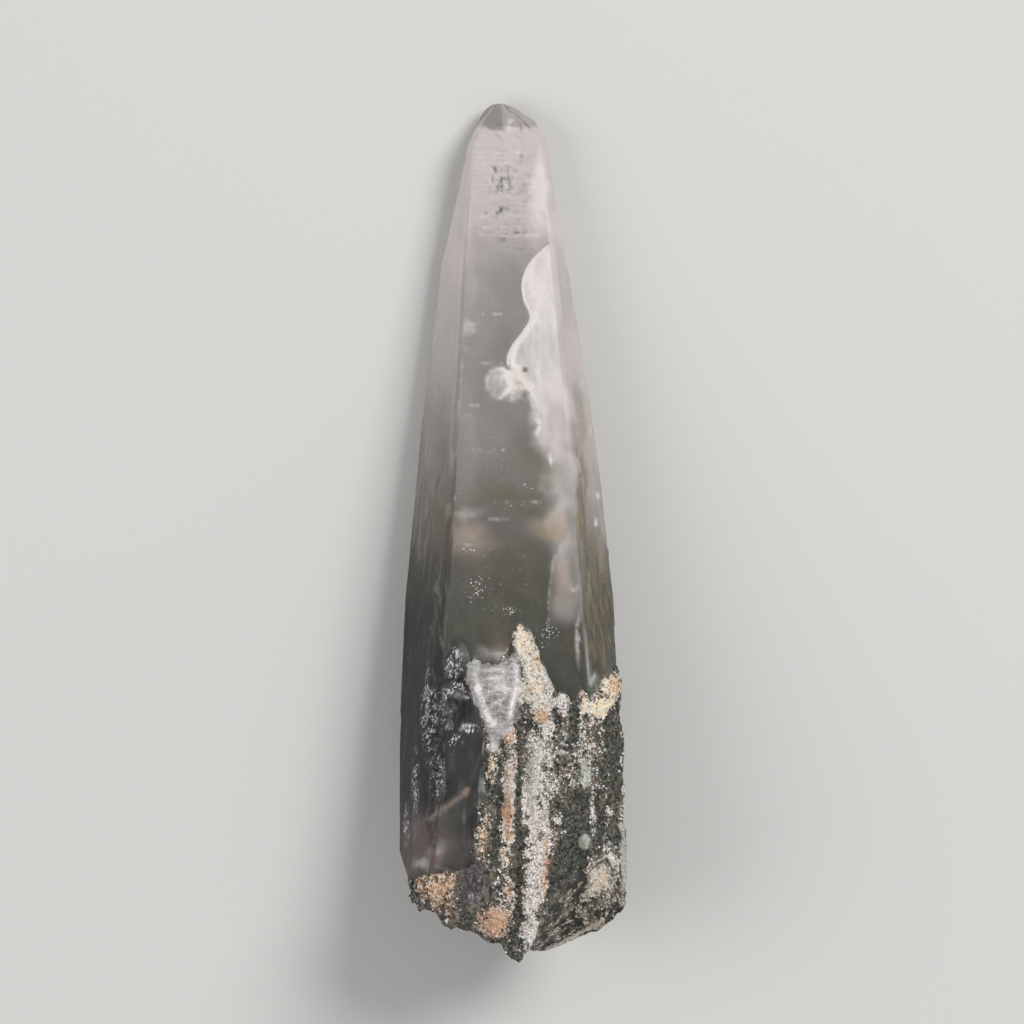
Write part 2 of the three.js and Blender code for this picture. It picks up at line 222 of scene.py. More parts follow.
def bell(distance, width):
    """1 at no distance, falling off smoothly over a width."""
    return np.exp(-((distance / width) ** 2))


def mix(a, b, share):
    return a + (b - a) * share


CELL_FACTORS = (127.1, 311.7, 74.7)
CELL_SCATTER = 43758.5453


def random_at(i, j, k):
    """A random number from 0 to 1 for each cell of a grid, the same on every run."""
    a, b, c = CELL_FACTORS
    wave = np.sin(i * a + j * b + k * c) * CELL_SCATTER
    return wave - np.floor(wave)


def noise(x, y, z, size, stretch=1.0):
    """Smooth noise from -1 to 1, with lumps of a size drawn out along the crystal."""
    spots = [x / size, y / (size * stretch), z / size]
    i, j, k = [np.floor(spot) for spot in spots]
    u, v, w = [spot - cell for spot, cell in zip(spots, (i, j, k))]
    u, v, w = [t * t * (3 - 2 * t) for t in (u, v, w)]

    def row(dj, dk):
        return mix(random_at(i, j + dj, k + dk), random_at(i + 1, j + dj, k + dk), u)

    return 2 * mix(mix(row(0, 0), row(1, 0), v), mix(row(0, 1), row(1, 1), v), w) - 1


def rough_noise(x, y, z, size, stretch=1.0):
    """Noise of two sizes on turned axes, so that it has no straight lines along the crystal."""
    u, v = 0.8 * x + 0.6 * y / stretch, 0.8 * y / stretch - 0.6 * x
    return 0.65 * noise(u, v, z, size) + 0.45 * noise(v, z, u, size * 0.47)


def ridges(x, y, z, size, stretch=1.0):
    """Sharp crests at 1 where rough noise crosses zero, 0 far from them."""
    return 1 - np.abs(rough_noise(x, y, z, size, stretch))


def curve(table, where):
    """A smooth line through the points of a table."""
    places, values = [np.array(column, float) for column in zip(*table)]
    slopes = np.gradient(values, places)
    number = np.clip(np.searchsorted(places, where) - 1, 0, len(places) - 2)
    width = places[number + 1] - places[number]
    t = np.clip((where - places[number]) / width, 0, 1)
    start = (1 + 2 * t) * (1 - t) ** 2 * values[number] + t * (1 - t) ** 2 * width * slopes[number]
    end = t**2 * (3 - 2 * t) * values[number + 1] - t**2 * (1 - t) * width * slopes[number + 1]
    return start + end


def reach_in(x, y, spot):
    """How far out in an oval a place is: 0 in its middle, 1 on its rim."""
    return np.hypot((x - spot[0]) / spot[2], (y - spot[1]) / spot[3])


def oval(x, y, spot):
    """1 at the middle of an oval, falling smoothly to 0 at its rim."""
    return 1 - fade(reach_in(x, y, spot), OVAL_BLEND)


def ovals(x, y, spots):
    return sum(oval(x, y, spot) for spot in spots)


def near_line(x, y, line, width):
    """1 on the line between two places, falling off to its sides over a width."""
    (x0, y0), (x1, y1) = line
    run, rise = x1 - x0, y1 - y0
    along = np.clip(((x - x0) * run + (y - y0) * rise) / (run**2 + rise**2), 0, 1)
    away = np.hypot(x - x0 - along * run, y - y0 - along * rise)
    return bell(away, width)


def spread(x, y, spots, jag=0):
    """The sum of soft ovals: sideways place, place along, half width, half length, strength."""
    total = 0 * y
    for spot in spots:
        total = total + spot[4] * (1 - fade(reach_in(x, y, spot) + jag, CLOUD_BLEND))
    return total


# The crystal's form


def top_edge(edge, y):
    """The place sideways of a long edge of the top face."""
    return edge[0] + edge[1] * y


def section_corners(y):
    """The corners of the section at y, sideways and up."""
    top = ROOT_THICKNESS - THICKNESS_LOST_PER_MM * y
    top_left, top_right = top_edge(TOP_FACE_LEFT, y), top_edge(TOP_FACE_RIGHT, y)
    left_bevel, right_bevel = profile(LEFT_BEVEL_WIDTH, y), profile(RIGHT_BEVEL_WIDTH, y)
    left, right = profile(LEFT_EDGE, y), profile(RIGHT_EDGE, y)
    left_shoulder, right_shoulder = top_left - left_bevel, top_right + right_bevel
    left_top, right_top = top - left_bevel * BEVEL_SLOPE, top - right_bevel * BEVEL_SLOPE
    left_height = left_top - FACE_SLOPE * (left_shoulder - left)
    right_height = right_top - FACE_SLOPE * (right - right_shoulder)
    x = [
        top_left, left_shoulder, left, left + left_height / FACE_SLOPE,
        right - right_height / FACE_SLOPE, right, right_shoulder, top_right,
    ]
    z = [top, left_top, left_height, 0 * y, 0 * y, right_height, right_top, top]
    return np.stack(x), np.stack(z)


def places_round(steps):
    """The side and the share along it, for each point round a section."""
    side = np.concatenate([np.full(count, number) for number, count in enumerate(steps)])
    share = np.concatenate([np.arange(count) / count for count in steps])
    return side, share


def plain_points(side, share, y):
    """The plain faces at y, which has a row for each section and a column for each place."""
    corner_x, corner_z = section_corners(y)
    normal_x = corner_z - np.roll(corner_z, 1, axis=0)
    normal_z = np.roll(corner_x, 1, axis=0) - corner_x
    length = np.hypot(normal_x, normal_z)
    columns = np.arange(len(side))

    def at(values, which):
        return values[which % SIDES, :, columns].T

    x = mix(at(corner_x, side - 1), at(corner_x, side), share)
    z = mix(at(corner_z, side - 1), at(corner_z, side), share)
    from_start, to_end = share * at(length, side), (1 - share) * at(length, side)
    turn_back = np.clip(1 - from_start / CORNER_ROUND, 0, 1)
    turn_on = np.clip(1 - to_end / CORNER_ROUND, 0, 1)
    outward = [
        at(n / length, side) + turn_back * at(n / length, side - 1) + turn_on * at(n / length, side + 1)
        for n in (normal_x, normal_z)
    ]
    size = np.hypot(*outward)
    return {
        "x": x, "y": y, "z": z, "out_x": outward[0] / size, "out_z": outward[1] / size,
        "to_corner": np.minimum(from_start, to_end), "waist": waist_at(x, y),
        "side": side + 0 * y, "on_top": side + 0 * y == TOP,
        "resting": (side == RESTING) | ((side == RIGHT_UNDER) & (share == 0)),
    }


def waist_at(x, y):
    """The height of the crystal's widest line, which leans from its left edge to its right."""
    corner_x, corner_z = section_corners(y)
    left, right = WIDEST_CORNERS
    share = (x - corner_x[left]) / (corner_x[right] - corner_x[left])
    return mix(corner_z[left], corner_z[right], share)


def break_at(x, z):
    """How far along y the crystal is broken off, for a place in its section."""
    above_brow = z - profile(BROW_HEIGHT, x)
    slant = profile(BROW_SLANT, x) * np.maximum(0, above_brow)
    left_lean = LEFT_BREAK_LEAN * np.maximum(0, ROOT_THICKNESS - z)
    right_lean = BROW_LEAN * np.maximum(0, -above_brow)
    right_share = fade(x, RIGHT_BREAK)
    lean = mix(left_lean, right_lean, right_share)
    roughness = mix(1, RIGHT_ROUGHNESS, right_share)
    keel = KEEL_LEAN * np.maximum(0, KEEL_HEIGHT - z)
    steps = ROOT_STEPS["height"] * np.abs(noise(x, 0 * x, z, ROOT_STEPS["size"]))
    inside = fade(ROOT_THICKNESS - z, ROOT_STEPS["below"])
    grain = ROOT_GRAIN["height"] * np.abs(noise(x, 0 * x, z, ROOT_GRAIN["size"]))
    return profile(ROOT_OUTLINE, x) + slant + lean + keel + roughness * (inside * steps + grain)


def flake_inside(x, y):
    """How far across the flake scar a place is: 1 at its left rim, 0 at the face's edge."""
    rim = curve(FLAKE_RIM, y)
    edge = top_edge(TOP_FACE_RIGHT, y)
    inside = (y > FLAKE_RIM[0][0]) & (y < FLAKE_RIM[-1][0]) & (x > rim + 0.001) & (x < edge)
    return inside * (edge - x) / (edge - rim)


def above_waist(points, what):
    """1 above the crystal's widest line, 0 below it."""
    return fade(points["z"] - points["waist"], ABOVE_WAIST[what])


def upper_relief(x, y, z):
    """The flake scar, the etched hollows and the mounds."""
    rise = -FLAKE_DEPTH * flake_inside(x, y) * fade(y, FLAKE_START)
    jags = noise(x, y, z, HOLLOW_JAGS["size"], HOLLOW_JAGS["stretch"])
    jagged = 1 - HOLLOW_JAGS["share"] * (1 - jags)
    for hollow in HOLLOWS:
        rise = rise - hollow[4] * jagged * oval(x, y, hollow)
    for mound in MOUNDS:
        rise = rise + mound[4] * oval(x, y, mound)
    return rise


def under_relief(x, y, z):
    """Growth ledges on the faces that lean in underneath."""
    rise = 0 * y
    for side, start, end, height in UNDER_LEDGES:
        within = (y > start + LEDGE_SKEW * z) & (y < end - LEDGE_SKEW * z)
        rise = rise + height * (within & (np.sign(x) == side))
    return rise


def crust_relief(x, y, z):
    """The lumps and grains of the crust, which even out along the right rim."""
    limit = profile(CRUST_LIMIT, x) + CRUST_EDGE["wander"] * noise(x, 0 * y, z, CRUST_EDGE["size"])
    lumps = CRUST_LUMPS["height"] * noise(x, y, z, CRUST_LUMPS["size"], CRUST_LUMPS["stretch"])
    grains = CRUST_GRAINS["height"] * noise(x, y, z, CRUST_GRAINS["size"], CRUST_GRAINS["stretch"])
    share = 1 - EVEN_RIM["share"] * fade(x, EVEN_RIM["from"])
    return share * (1 - fade(y - limit, CRUST_EDGE["fade"])) * (lumps + grains)


def main_relief(points):
    x, y, z = points["x"], points["y"], points["z"]
    sides = mix(under_relief(x, y, z), upper_relief(x, y, z), above_waist(points, "relief"))
    return (sides + crust_relief(x, y, z)) * allowed(points)


def allowed(points):
    """Relief fades to nothing at the resting face and at the point."""
    clear = fade(points["z"], ABOVE_REST) * (1 - fade(points["y"], NEAR_POINT))
    return clear * ~points["resting"]


def core_at(y):
    """The middle of the section at y, which runs to the apex in the point."""
    corner_x, corner_z = section_corners(y)
    left, right = WIDEST_CORNERS
    to_apex = fade(y, (LENGTH - POINT_LENGTH, LENGTH))
    x = mix((corner_x[left] + corner_x[right]) / 2, APEX[0], to_apex)
    return x, mix(corner_z[TOP] / 2, APEX[2], to_apex)


def point_share(points, core):
    """How much of the section the point's short faces leave, towards each place."""
    y = points["y"]
    ahead = np.stack([points["x"] - core[0], 0 * core[0], points["z"] - core[1]], axis=-1)
    start = np.stack([core[0], np.minimum(y, LENGTH - BLUNT_LENGTH), core[1]], axis=-1)
    tiny = np.finfo(float).eps
    cut = 1
    for normal, through in POINT_FACES:
        room = np.maximum(np.dot(through, normal) - start @ np.array(normal), 0)
        share = np.maximum(room / np.maximum(ahead @ np.array(normal), tiny), SMALLEST_SHARE)
        cut = cut + share ** (-1 / POINT_WEAR)
    blunt = np.sqrt(np.clip((LENGTH - y) / BLUNT_LENGTH, 0, 1))
    return np.where(y > LENGTH - POINT_LENGTH, cut**-POINT_WEAR * blunt, 1)


def place_surface(points, rise, share):
    """Each place pulled towards the section's core by a share and pushed out by a rise."""
    core = core_at(points["y"])
    x = mix(core[0], points["x"], share) + points["out_x"] * rise
    z = mix(core[1], points["z"], share) + points["out_z"] * rise
    return np.stack([x, points["y"], np.maximum(z, 0)], axis=-1)


def break_line(side, share):
    """Where the break crosses each line along the crystal's side, found by halving."""
    low = np.full((1, len(side)), -float(POINT_LENGTH))
    high = np.full((1, len(side)), float(FIRST_WHOLE_SECTION))
    for _ in range(HALVINGS):
        middle = (low + high) / 2
        points = plain_points(side, share, middle)
        short = break_at(points["x"], points["z"]) > middle
        low, high = np.where(short, middle, low), np.where(short, high, middle)
    return high


def distances(spacing):
    """Places along the crystal, from the first whole section on."""
    starts = [FIRST_WHOLE_SECTION] + [limit for limit, step in spacing]
    return np.concatenate([
        np.arange(start, limit, step) for start, (limit, step) in zip(starts, spacing)
    ])


def rows_along(side, share, spacing):
    """Distances along y of every place: rows that start at the break and even out."""
    line = break_line(side, share)
    count = math.ceil(FIRST_WHOLE_SECTION / spacing[0][1])
    root = mix(line, FIRST_WHOLE_SECTION, np.arange(count)[:, None] / count)
    whole = distances(spacing)[:, None] + 0 * line
    return np.vstack([root, whole])


def fitted_to_flake(side, share, y):
    """Moves one place in each row on to the flake's rim, and the next one close inside it."""
    share = np.tile(share, (len(y), 1))
    along = y[:, 0]
    top_left, top_right = top_edge(TOP_FACE_LEFT, along), top_edge(TOP_FACE_RIGHT, along)
    rim = (top_right - curve(FLAKE_RIM, along)) / (top_right - top_left)
    step = 1 / np.count_nonzero(side == TOP)
    for row in np.flatnonzero((along > FLAKE_RIM[0][0]) & (along < FLAKE_RIM[-1][0])):
        nearest = max(round(rim[row] / step), 1)
        share[row, nearest] = rim[row]
        share[row, nearest - 1] = rim[row] - FLAKE_WALL * step
    return share


def break_rings(rim, count, roughness):
    """Rings over the broken root, from its middle out to the rim."""
    share = (np.arange(1, count) / count)[:, None]
    x = mix(ROOT_CENTRE[0], rim[:, 0], share)
    z = mix(ROOT_CENTRE[1], rim[:, 2], share)
    y = break_at(x, z) - roughness(x, z)
    return np.stack([x, y, z], axis=-1)


# Meshes


def closed_mesh(name, rings, first, last):
    """Joins rings of points into one closed mesh between two end points."""
    rows, columns = rings.shape[:2]
    points = np.vstack([[first], rings.reshape(-1, 3), [last]])
    points = (points - MIDDLE) * MM
    index = 1 + np.arange(rows * columns).reshape(rows, columns)
    turned = np.roll(index, -1, axis=1)
    quads = np.stack([index[:-1], index[1:], turned[1:], turned[:-1]], axis=-1).reshape(-1, 4)
    end = rows * columns + 1
    fans = [(0, a, b) for a, b in zip(index[0], turned[0])]
    fans += [(b, a, end) for a, b in zip(index[-1], turned[-1])]
    mesh = bpy.data.meshes.new(name)
    mesh.from_pydata(points.tolist(), [], quads.tolist() + [tuple(map(int, f)) for f in fans])
    mesh.shade_smooth()
    return mesh


def store(mesh, name, rings, ends):
    """Keeps a number for every point of a mesh that closed_mesh made."""
    values = np.concatenate([[ends[0]], rings.ravel(), [ends[1]]]).astype(np.float32)
    mesh.attributes.new(name, "FLOAT", "POINT").data.foreach_set("value", values)


def store_marks(mesh, on_cap, on_sides):
    """Keeps the marks of the broken root and of the sides on one mesh."""
    for name, values in on_sides.items():
        rings = np.concatenate([on_cap[name] + 0.0, values + 0.0])
        store(mesh, name, rings, (rings[0, 0], rings[-1, 0]))


def add_piece(name, mesh, material):
    piece = bpy.data.objects.new(name, mesh)
    bpy.context.scene.collection.objects.link(piece)
    if not mesh.materials:
        mesh.materials.append(material)
    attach(piece, RIDES_ON)
    return piece


# Fine relief and markings of the clear body

TIP_CRUMBLE = {"size": 0.5, "height": 0.5, "from": (-0.4, 0.8), "along": (86.6, 87.4)}
EDGE_WEAR = {"depth": 0.05, "width": 0.25}
GROWTH_STEPS = {"spacing": 1.15, "height": 0.03, "from": (34, 40), "to": (73.5, 76.5)}
TIP_STEPS = {"spacing": 0.62, "height": 0.05, "from": (73.5, 76.5), "to": (86.3, 87.2)}
FLAKE_RIPPLES = {"centre": (6.5, 66.0), "squash": 0.6, "spacing": 1.5, "height": 0.03}
# A thick lip runs along the flake scar's rim where its two lobes meet
FLAKE_LIP = {"height": 0.2, "inside": 0.36, "width": 0.32, "from": (60.9, 62.2), "to": (66.6, 68.4)}
FLAKE_PITS = [(1.57, 61.8, 0.38, 0.28), (-0.15, 62.0, 0.2, 0.3)]
ETCH = {"size": 0.62, "stretch": 1.7, "depth": 0.45}
POINT_PITS = [
    (-1.65, 82.97, 0.35, 0.4), (-0.15, 81.6, 0.3, 0.75), (-1.0, 78.7, 0.3, 0.3),
    (1.14, 84.4, 0.3, 0.25), (-0.9, 81.2, 0.18, 0.9), (-1.9, 81.9, 0.2, 0.5),
]
PIT_DEPTH = 0.13
# Where the striated face near the point is pitted
PITTED = [
    (-0.7, 82.0, 1.4, 1.8, 1.0), (-1.9, 78.5, 1.6, 0.8, 0.8), (-0.9, 87.0, 0.9, 0.8, 0.8),
    (0.2, 76.0, 1.6, 0.8, 0.7), (0.5, 80.0, 3.4, 7.0, 0.45),
]
# Where the hollow in the left shoulder is etched and carries painted glints, the smooth dark
# facet below it, and the whole hollow with its tail
ETCHED_SPOTS = [
    (-5.6, 30.4, 1.3, 2.4, 1.0), (-5.3, 27.9, 1.6, 0.8, 1.2), (-8.5, 25.8, 1.0, 5.0, 0.8),
    (-6.8, 25.6, 1.2, 3.2, 0.4), (-4.3, 24.2, 1.2, 0.6, 1.2), (-5.6, 22.6, 0.9, 1.3, 0.8),
    (-7.6, 19.6, 1.2, 3.4, 0.45), (-9.9, 18.4, 0.5, 4.2, 0.6), (-10.9, 14.2, 0.4, 2.4, 0.6),
]
CLEAR_FACET = (-4.0, 20.6, 2.0, 3.6)
DARK_HOLLOW = [(-6.0, 27.6, 2.6, 6.4), (-8.1, 20.5, 1.7, 10.0)]
# A stray vein across the clear quartz, with a spot at its upper end
STRAY_VEIN = {"line": ((-8.2, 14.9), (-4.8, 17.4)), "width": 0.34}
VEIN_SPOT = (-4.5, 17.7, 0.5, 0.55)
# The line where the surface steps up to a paler terrace on the right of the top face
TERRACE_LINE = [(34.4, 4.0), (37.6, 4.0), (41.8, 4.5), (43.4, 5.3), (46, 6.9)]
TERRACE_START, TERRACE_END = (34.4, 35.8), (42.6, 45.5)
TERRACE_HEIGHT = 0.12
# Below this height the body is left as the resting face has it
RESTING_HEIGHT = 0.05


def in_hollow(x, y):
    """1 in the dark hollow in the left shoulder and its tail, 0 off it."""
    return np.clip(ovals(x, y, DARK_HOLLOW), 0, 1) * (1 - oval(x, y, CLEAR_FACET))


def etched(x, y):
    """How strongly the surface is etched, which also sets where glints are painted on it."""
    return np.clip(spread(x, y, ETCHED_SPOTS), 0, 1) * (1 - oval(x, y, CLEAR_FACET))


def stray_vein(x, y, z):
    """1 along the stray vein and on its spot, with gaps in it."""
    vein = near_line(x, y, STRAY_VEIN["line"], STRAY_VEIN["width"]) + oval(x, y, VEIN_SPOT)
    return np.clip(vein * fade(rough_noise(x, y, z, 0.5), (-1.0, 0.1)), 0, 1)


def terrace(x, y):
    """1 on the paler terrace, 0 off it."""
    return between(y, TERRACE_START, TERRACE_END) * (x > profile(TERRACE_LINE, y))


def flake_lip(x, y):
    """1 along the lip inside the flake scar's rim, 0 away from it."""
    from_rim = x - curve(FLAKE_RIM, y)
    across = bell(from_rim - FLAKE_LIP["inside"], FLAKE_LIP["width"])
    return across * between(y, FLAKE_LIP["from"], FLAKE_LIP["to"])


def ragged_steps(x, y, z, steps):
    """Rows of low steps across the crystal, broken into dashes, over a stretch of it."""
    bent = (y + 0.3 * noise(x, y, z, 4.0) + 0.05 * x) / steps["spacing"]
    row = np.floor(bent)
    length = 0.6 + 0.4 * noise(x, 7.3 * row, z, 1.6)
    return between(y, steps["from"], steps["to"]) * steps["height"] * length * (bent - row)


def edge_wear(points):
    """Chips along the edges between the faces, up to the point."""
    x, y, z = points["x"], points["y"], points["z"]
    chips = 0.5 + 0.3 * noise(x, y, z, 0.9, 1.6) + 0.4 * noise(x, y, z, 0.37)
    wear = -EDGE_WEAR["depth"] * chips * bell(points["to_corner"], EDGE_WEAR["width"])
    return wear * (1 - fade(y, (LENGTH - POINT_LENGTH, LENGTH - 1)))


def flake_relief(x, y):
    """Ripples, the lip and small pits in the flake scar."""
    across = x - FLAKE_RIPPLES["centre"][0]
    along = (y - FLAKE_RIPPLES["centre"][1]) * FLAKE_RIPPLES["squash"]
    ripples = np.sin(2 * np.pi * np.hypot(across, along) / FLAKE_RIPPLES["spacing"])
    rise = FLAKE_RIPPLES["height"] * ripples + FLAKE_LIP["height"] * flake_lip(x, y)
    return rise - PIT_DEPTH * ovals(x, y, FLAKE_PITS)


def body_relief(points):
    """Fine relief that the solid leaves out."""
    x, y, z = points["x"], points["y"], points["z"]
    steps = ragged_steps(x, y, z, GROWTH_STEPS) + ragged_steps(x, y, z, TIP_STEPS)
    steps = steps + TERRACE_HEIGHT * terrace(x, y) * points["on_top"]
    surface = np.where(flake_inside(x, y) > 0, flake_relief(x, y), steps)
    crests = ridges(x, y, z, ETCH["size"], ETCH["stretch"])
    etch = ETCH["depth"] * in_hollow(x, y) * (1 - crests**3)
    pits = PIT_DEPTH * ovals(x, y, POINT_PITS)
    crumbs = np.abs(noise(x, y, z, TIP_CRUMBLE["size"])) * fade(x, TIP_CRUMBLE["from"])
    crumbs = TIP_CRUMBLE["height"] * crumbs * fade(y, TIP_CRUMBLE["along"])
    rise = edge_wear(points) + above_waist(points, "relief") * (surface - etch - pits) - crumbs
    return rise * (z > RESTING_HEIGHT)


WHITENESS = [
    (0, 0.05), (30, 0.1), (38, 0.16), (42, 0.21), (46, 0.28), (52, 0.34), (58, 0.4), (66, 0.49),
    (72, 0.52), (75, 0.62), (78, 0.78), (83, 0.84), (90, 0.84),
]
CLARITY = [
    (0, 0.97), (28, 0.93), (34, 0.86), (40, 0.68), (44, 0.52), (50, 0.4), (58, 0.3), (66, 0.24),
    (75, 0.16), (79, 0.1), (90, 0.06),
]
# Soft patches: sideways place, place along, half width, half length, strength
PALE_CLOUDS = [
    (4.6, 57.5, 2.2, 5.5, 0.36), (5.2, 51.0, 2.0, 5.5, 0.36), (5.4, 44.6, 1.7, 4.2, 0.3),
    (-4.3, 46.8, 1.6, 0.7, 0.2), (-3.9, 43.6, 2.2, 2.0, 0.14), (-4.1, 66.3, 0.8, 0.8, 0.16),
    (-2.8, 54.5, 2.2, 3.5, 0.05), (5.8, 38.2, 1.5, 3.8, 0.24), (3.6, 45.3, 2.2, 1.5, 0.2),
    (3.0, 78.5, 1.3, 4.5, 0.14), (-4.4, 71.5, 0.9, 5.0, 0.07), (7.2, 49.0, 0.7, 9.0, 0.14),
    (3.2, 56.2, 0.9, 3.4, 0.25), (3.2, 81.5, 0.9, 3.0, 0.16), (-9.0, 10.0, 0.9, 0.9, 0.4),
    (-7.4, 11.4, 1.5, 1.0, 0.25), (-4.6, 45.0, 1.4, 1.6, 0.1), (-4.9, 54.0, 1.6, 8.5, 0.09),
    (-1.0, 32.2, 1.8, 1.1, 0.35), (-2.8, 31.9, 1.0, 0.8, 0.35),
]
DARK_CLOUDS = [
    (0.2, 69.0, 2.8, 6.5, 0.1), (-0.6, 63.5, 2.6, 3.0, 0.06), (1.4, 54.5, 1.5, 2.2, 0.08),
    (1.0, 40.5, 3.2, 4.5, 0.05), (6.3, 32.6, 1.6, 2.2, 0.05), (-7.1, 52.0, 0.8, 9.0, 0.1),
]
OLIVE_CLOUDS = [
    (1.2, 48.3, 3.8, 2.2, 0.9), (2.8, 51.8, 2.4, 2.2, 0.6), (-2.0, 49.0, 2.5, 1.8, 0.45),
    (3.4, 44.8, 2.2, 1.6, 0.5), (0.5, 40.0, 4.5, 6.0, 0.3), (8.8, 39.0, 1.0, 8.0, 1.0),
    (7.6, 47.0, 0.7, 8.0, 0.9), (9.6, 32.0, 0.8, 4.5, 1.0), (5.6, 40.4, 1.3, 3.4, 0.5),
    (7.2, 57.0, 0.6, 6.0, 0.5), (10.1, 37.5, 0.8, 6.0, 0.6),
]
PEACH_CLOUDS = [
    (3.8, 45.3, 2.6, 1.9, 0.6), (-6.9, 43.8, 0.7, 2.6, 0.5), (-6.9, 47.4, 0.6, 1.6, 0.4),
    (-4.6, 43.2, 2.0, 3.4, 0.3), (5.3, 39.6, 1.2, 2.8, 0.45), (-0.9, 33.4, 2.2, 1.8, 0.45),
    (6.4, 32.6, 1.5, 2.2, 0.35), (-9.4, 44.0, 0.9, 3.0, 0.3), (7.5, 31.2, 0.3, 0.6, 1.0),
    (-2.4, 43.9, 2.0, 1.6, 0.25), (-4.6, 45.2, 1.6, 1.6, 0.25),
]
# Purple-brown haze near the root, on the left
PLUM_CLOUDS = [
    (-10.4, 11.6, 1.8, 5.4, 0.95), (-8.2, 12.6, 2.0, 3.4, 0.85), (-8.4, 10.0, 1.8, 1.6, 0.95),
    (-5.4, 11.2, 1.6, 2.8, 0.5), (-2.6, 9.0, 1.6, 2.6, 0.3), (-6.6, 15.2, 1.6, 1.2, 0.35),
]
# Painted highlights along growth steps, short bright lines across the top face: place along, from, to
GROWTH_LINE_HIGHLIGHTS = [
    (67.8, -3.1, -0.7), (66.6, -4.9, -3.2), (65.9, -4.9, -3.5), (64.0, -4.8, -4.1),
    (62.5, -5.1, -0.7), (58.0, -4.4, -3.2), (56.9, -5.2, -3.6), (53.4, -5.0, -0.6),
    (76.1, -3.4, 4.0), (76.9, -3.0, 1.5), (78.0, -3.6, 1.8), (80.0, -2.2, 0.2), (81.1, -3.2, -1.6),
    (82.2, -2.6, 0.4), (83.6, -3.0, 0.0), (84.7, -2.4, 1.6), (47.8, -2.5, 3.4), (46.6, -5.8, -3.0),
    (46.1, -2.2, 0.2), (43.6, -5.6, -2.2), (42.1, 0.6, 1.8),
]
# Small bright wisps and flecks
WISPS = [
    (4.1, 52.3, 0.22, 1.0, 0.9), (6.6, 39.3, 0.7, 0.4, 0.4), (2.3, 58.2, 0.6, 2.0, 0.6),
    (2.7, 56.0, 0.35, 1.0, 0.9), (7.3, 33.4, 0.28, 3.4, 0.75), (-5.3, 31.8, 0.3, 0.5, 0.8),
    (0.3, 60.9, 1.1, 1.1, 0.8), (1.5, 60.2, 0.9, 0.6, 0.7), (-5.2, 27.8, 1.3, 0.4, 0.6),
    (-4.1, 24.4, 0.9, 0.45, 0.6), (0.5, 59.5, 1.3, 0.9, 0.8), (-0.9, 32.2, 1.1, 0.6, 0.5),
    (-7.5, 38.8, 0.3, 2.6, 0.3), (-8.0, 35.2, 0.3, 2.6, 0.25), (-7.2, 33.8, 0.25, 1.8, 0.35),
    (9.0, 48.9, 0.2, 0.4, 0.9), (9.1, 46.2, 0.2, 0.6, 0.9), (8.4, 55.8, 0.2, 0.5, 0.8),
]
BRUISE = (-1.2, 60.4, 1.4, 1.75)
# Cream stain where the bruise meets the flake scar, small brown pits and a brown patch
CREAM_STAIN = [(1.2, 60.2, 1.5, 1.1, 0.6), (0.4, 61.2, 0.8, 0.5, 0.4)]
BROWN_SPOTS = [
    (1.57, 61.8, 0.4, 0.3, 0.9), (-0.15, 62.0, 0.2, 0.3, 0.8), (1.5, 59.1, 0.35, 0.3, 0.5),
    (-6.9, 43.8, 0.6, 2.8, 0.75), (-7.3, 46.6, 0.6, 1.2, 0.3),
]
# The dull facet on the left of the point: its lower edge, and where that edge starts to climb
TIP_FACET = {"low": 87.05, "climb_from": -2.1, "climb": 0.9, "right": -0.65, "lean": 0.12}
# How far each edge's mark reaches: the painted highlight along the top face's left edge, the frost
# along the terrace edge, the wear and painted highlight along worn edges, and the dull wear
HIGHLIGHT_EDGE, TERRACE_EDGE, WORN_HIGHLIGHT_EDGE, DULL_EDGE = 0.12, 0.14, 0.2, 0.3
# Sides that are whiter or darker than the rest: side, amount, where it starts and where it ends.
# One that starts before the root or ends past the point doesn't fade there. The darkening of the
# left bevel and of the left upper face near the root is painted shade, as they face away from the light
AT_ROOT, AT_POINT = (-9, -8), (98, 99)
SIDE_TONES = [
    (LEFT_BEVEL, -0.24, AT_ROOT, (76, 82)), (RIGHT_BEVEL, -0.06, (62, 70), AT_POINT),
    (LEFT_UPPER, -0.1, AT_ROOT, (40, 50)), (LEFT_UPPER, 0.18, (56, 68), AT_POINT),
    (RIGHT_UPPER, 0.5, (36, 46), (60, 70)),
]
# Where tiny white specks gather in the clear part
SPECKED = [
    (-3.6, 38.7, 1.5, 1.5, 0.9), (-0.5, 36.4, 1.6, 0.8, 1.0), (3.8, 34.2, 1.3, 0.9, 1.0),
    (-4.4, 43.0, 1.4, 0.6, 0.8), (2.0, 49.4, 0.8, 0.5, 1.0), (-5.4, 49.2, 0.7, 0.7, 0.7),
    (6.5, 39.4, 0.9, 0.6, 0.9), (-0.2, 47.8, 2.8, 0.4, 0.6), (-4.6, 46.6, 1.6, 0.4, 0.8),
    (3.4, 33.0, 1.6, 1.4, 0.6), (-4.9, 31.2, 0.8, 1.0, 0.9), (-8.6, 33.5, 2.0, 5.0, 0.35),
    (0.5, 52.5, 4.5, 5.0, 0.25), (-1.2, 40.0, 4.0, 5.0, 0.3), (9.4, 44.0, 1.4, 12.0, 0.4),
]


def warped(x, y, z):
    """Places moved about by noise, which gives the clouds ragged outlines."""
    return x + 0.7 * rough_noise(x, y, z, 1.9), y + 0.9 * rough_noise(z, x, y, 2.3)


def clouds(points, spots):
    """How strong soft patches are on the body's upper faces."""
    return above_waist(points, "body marks") * spread(*points["warped"], spots)


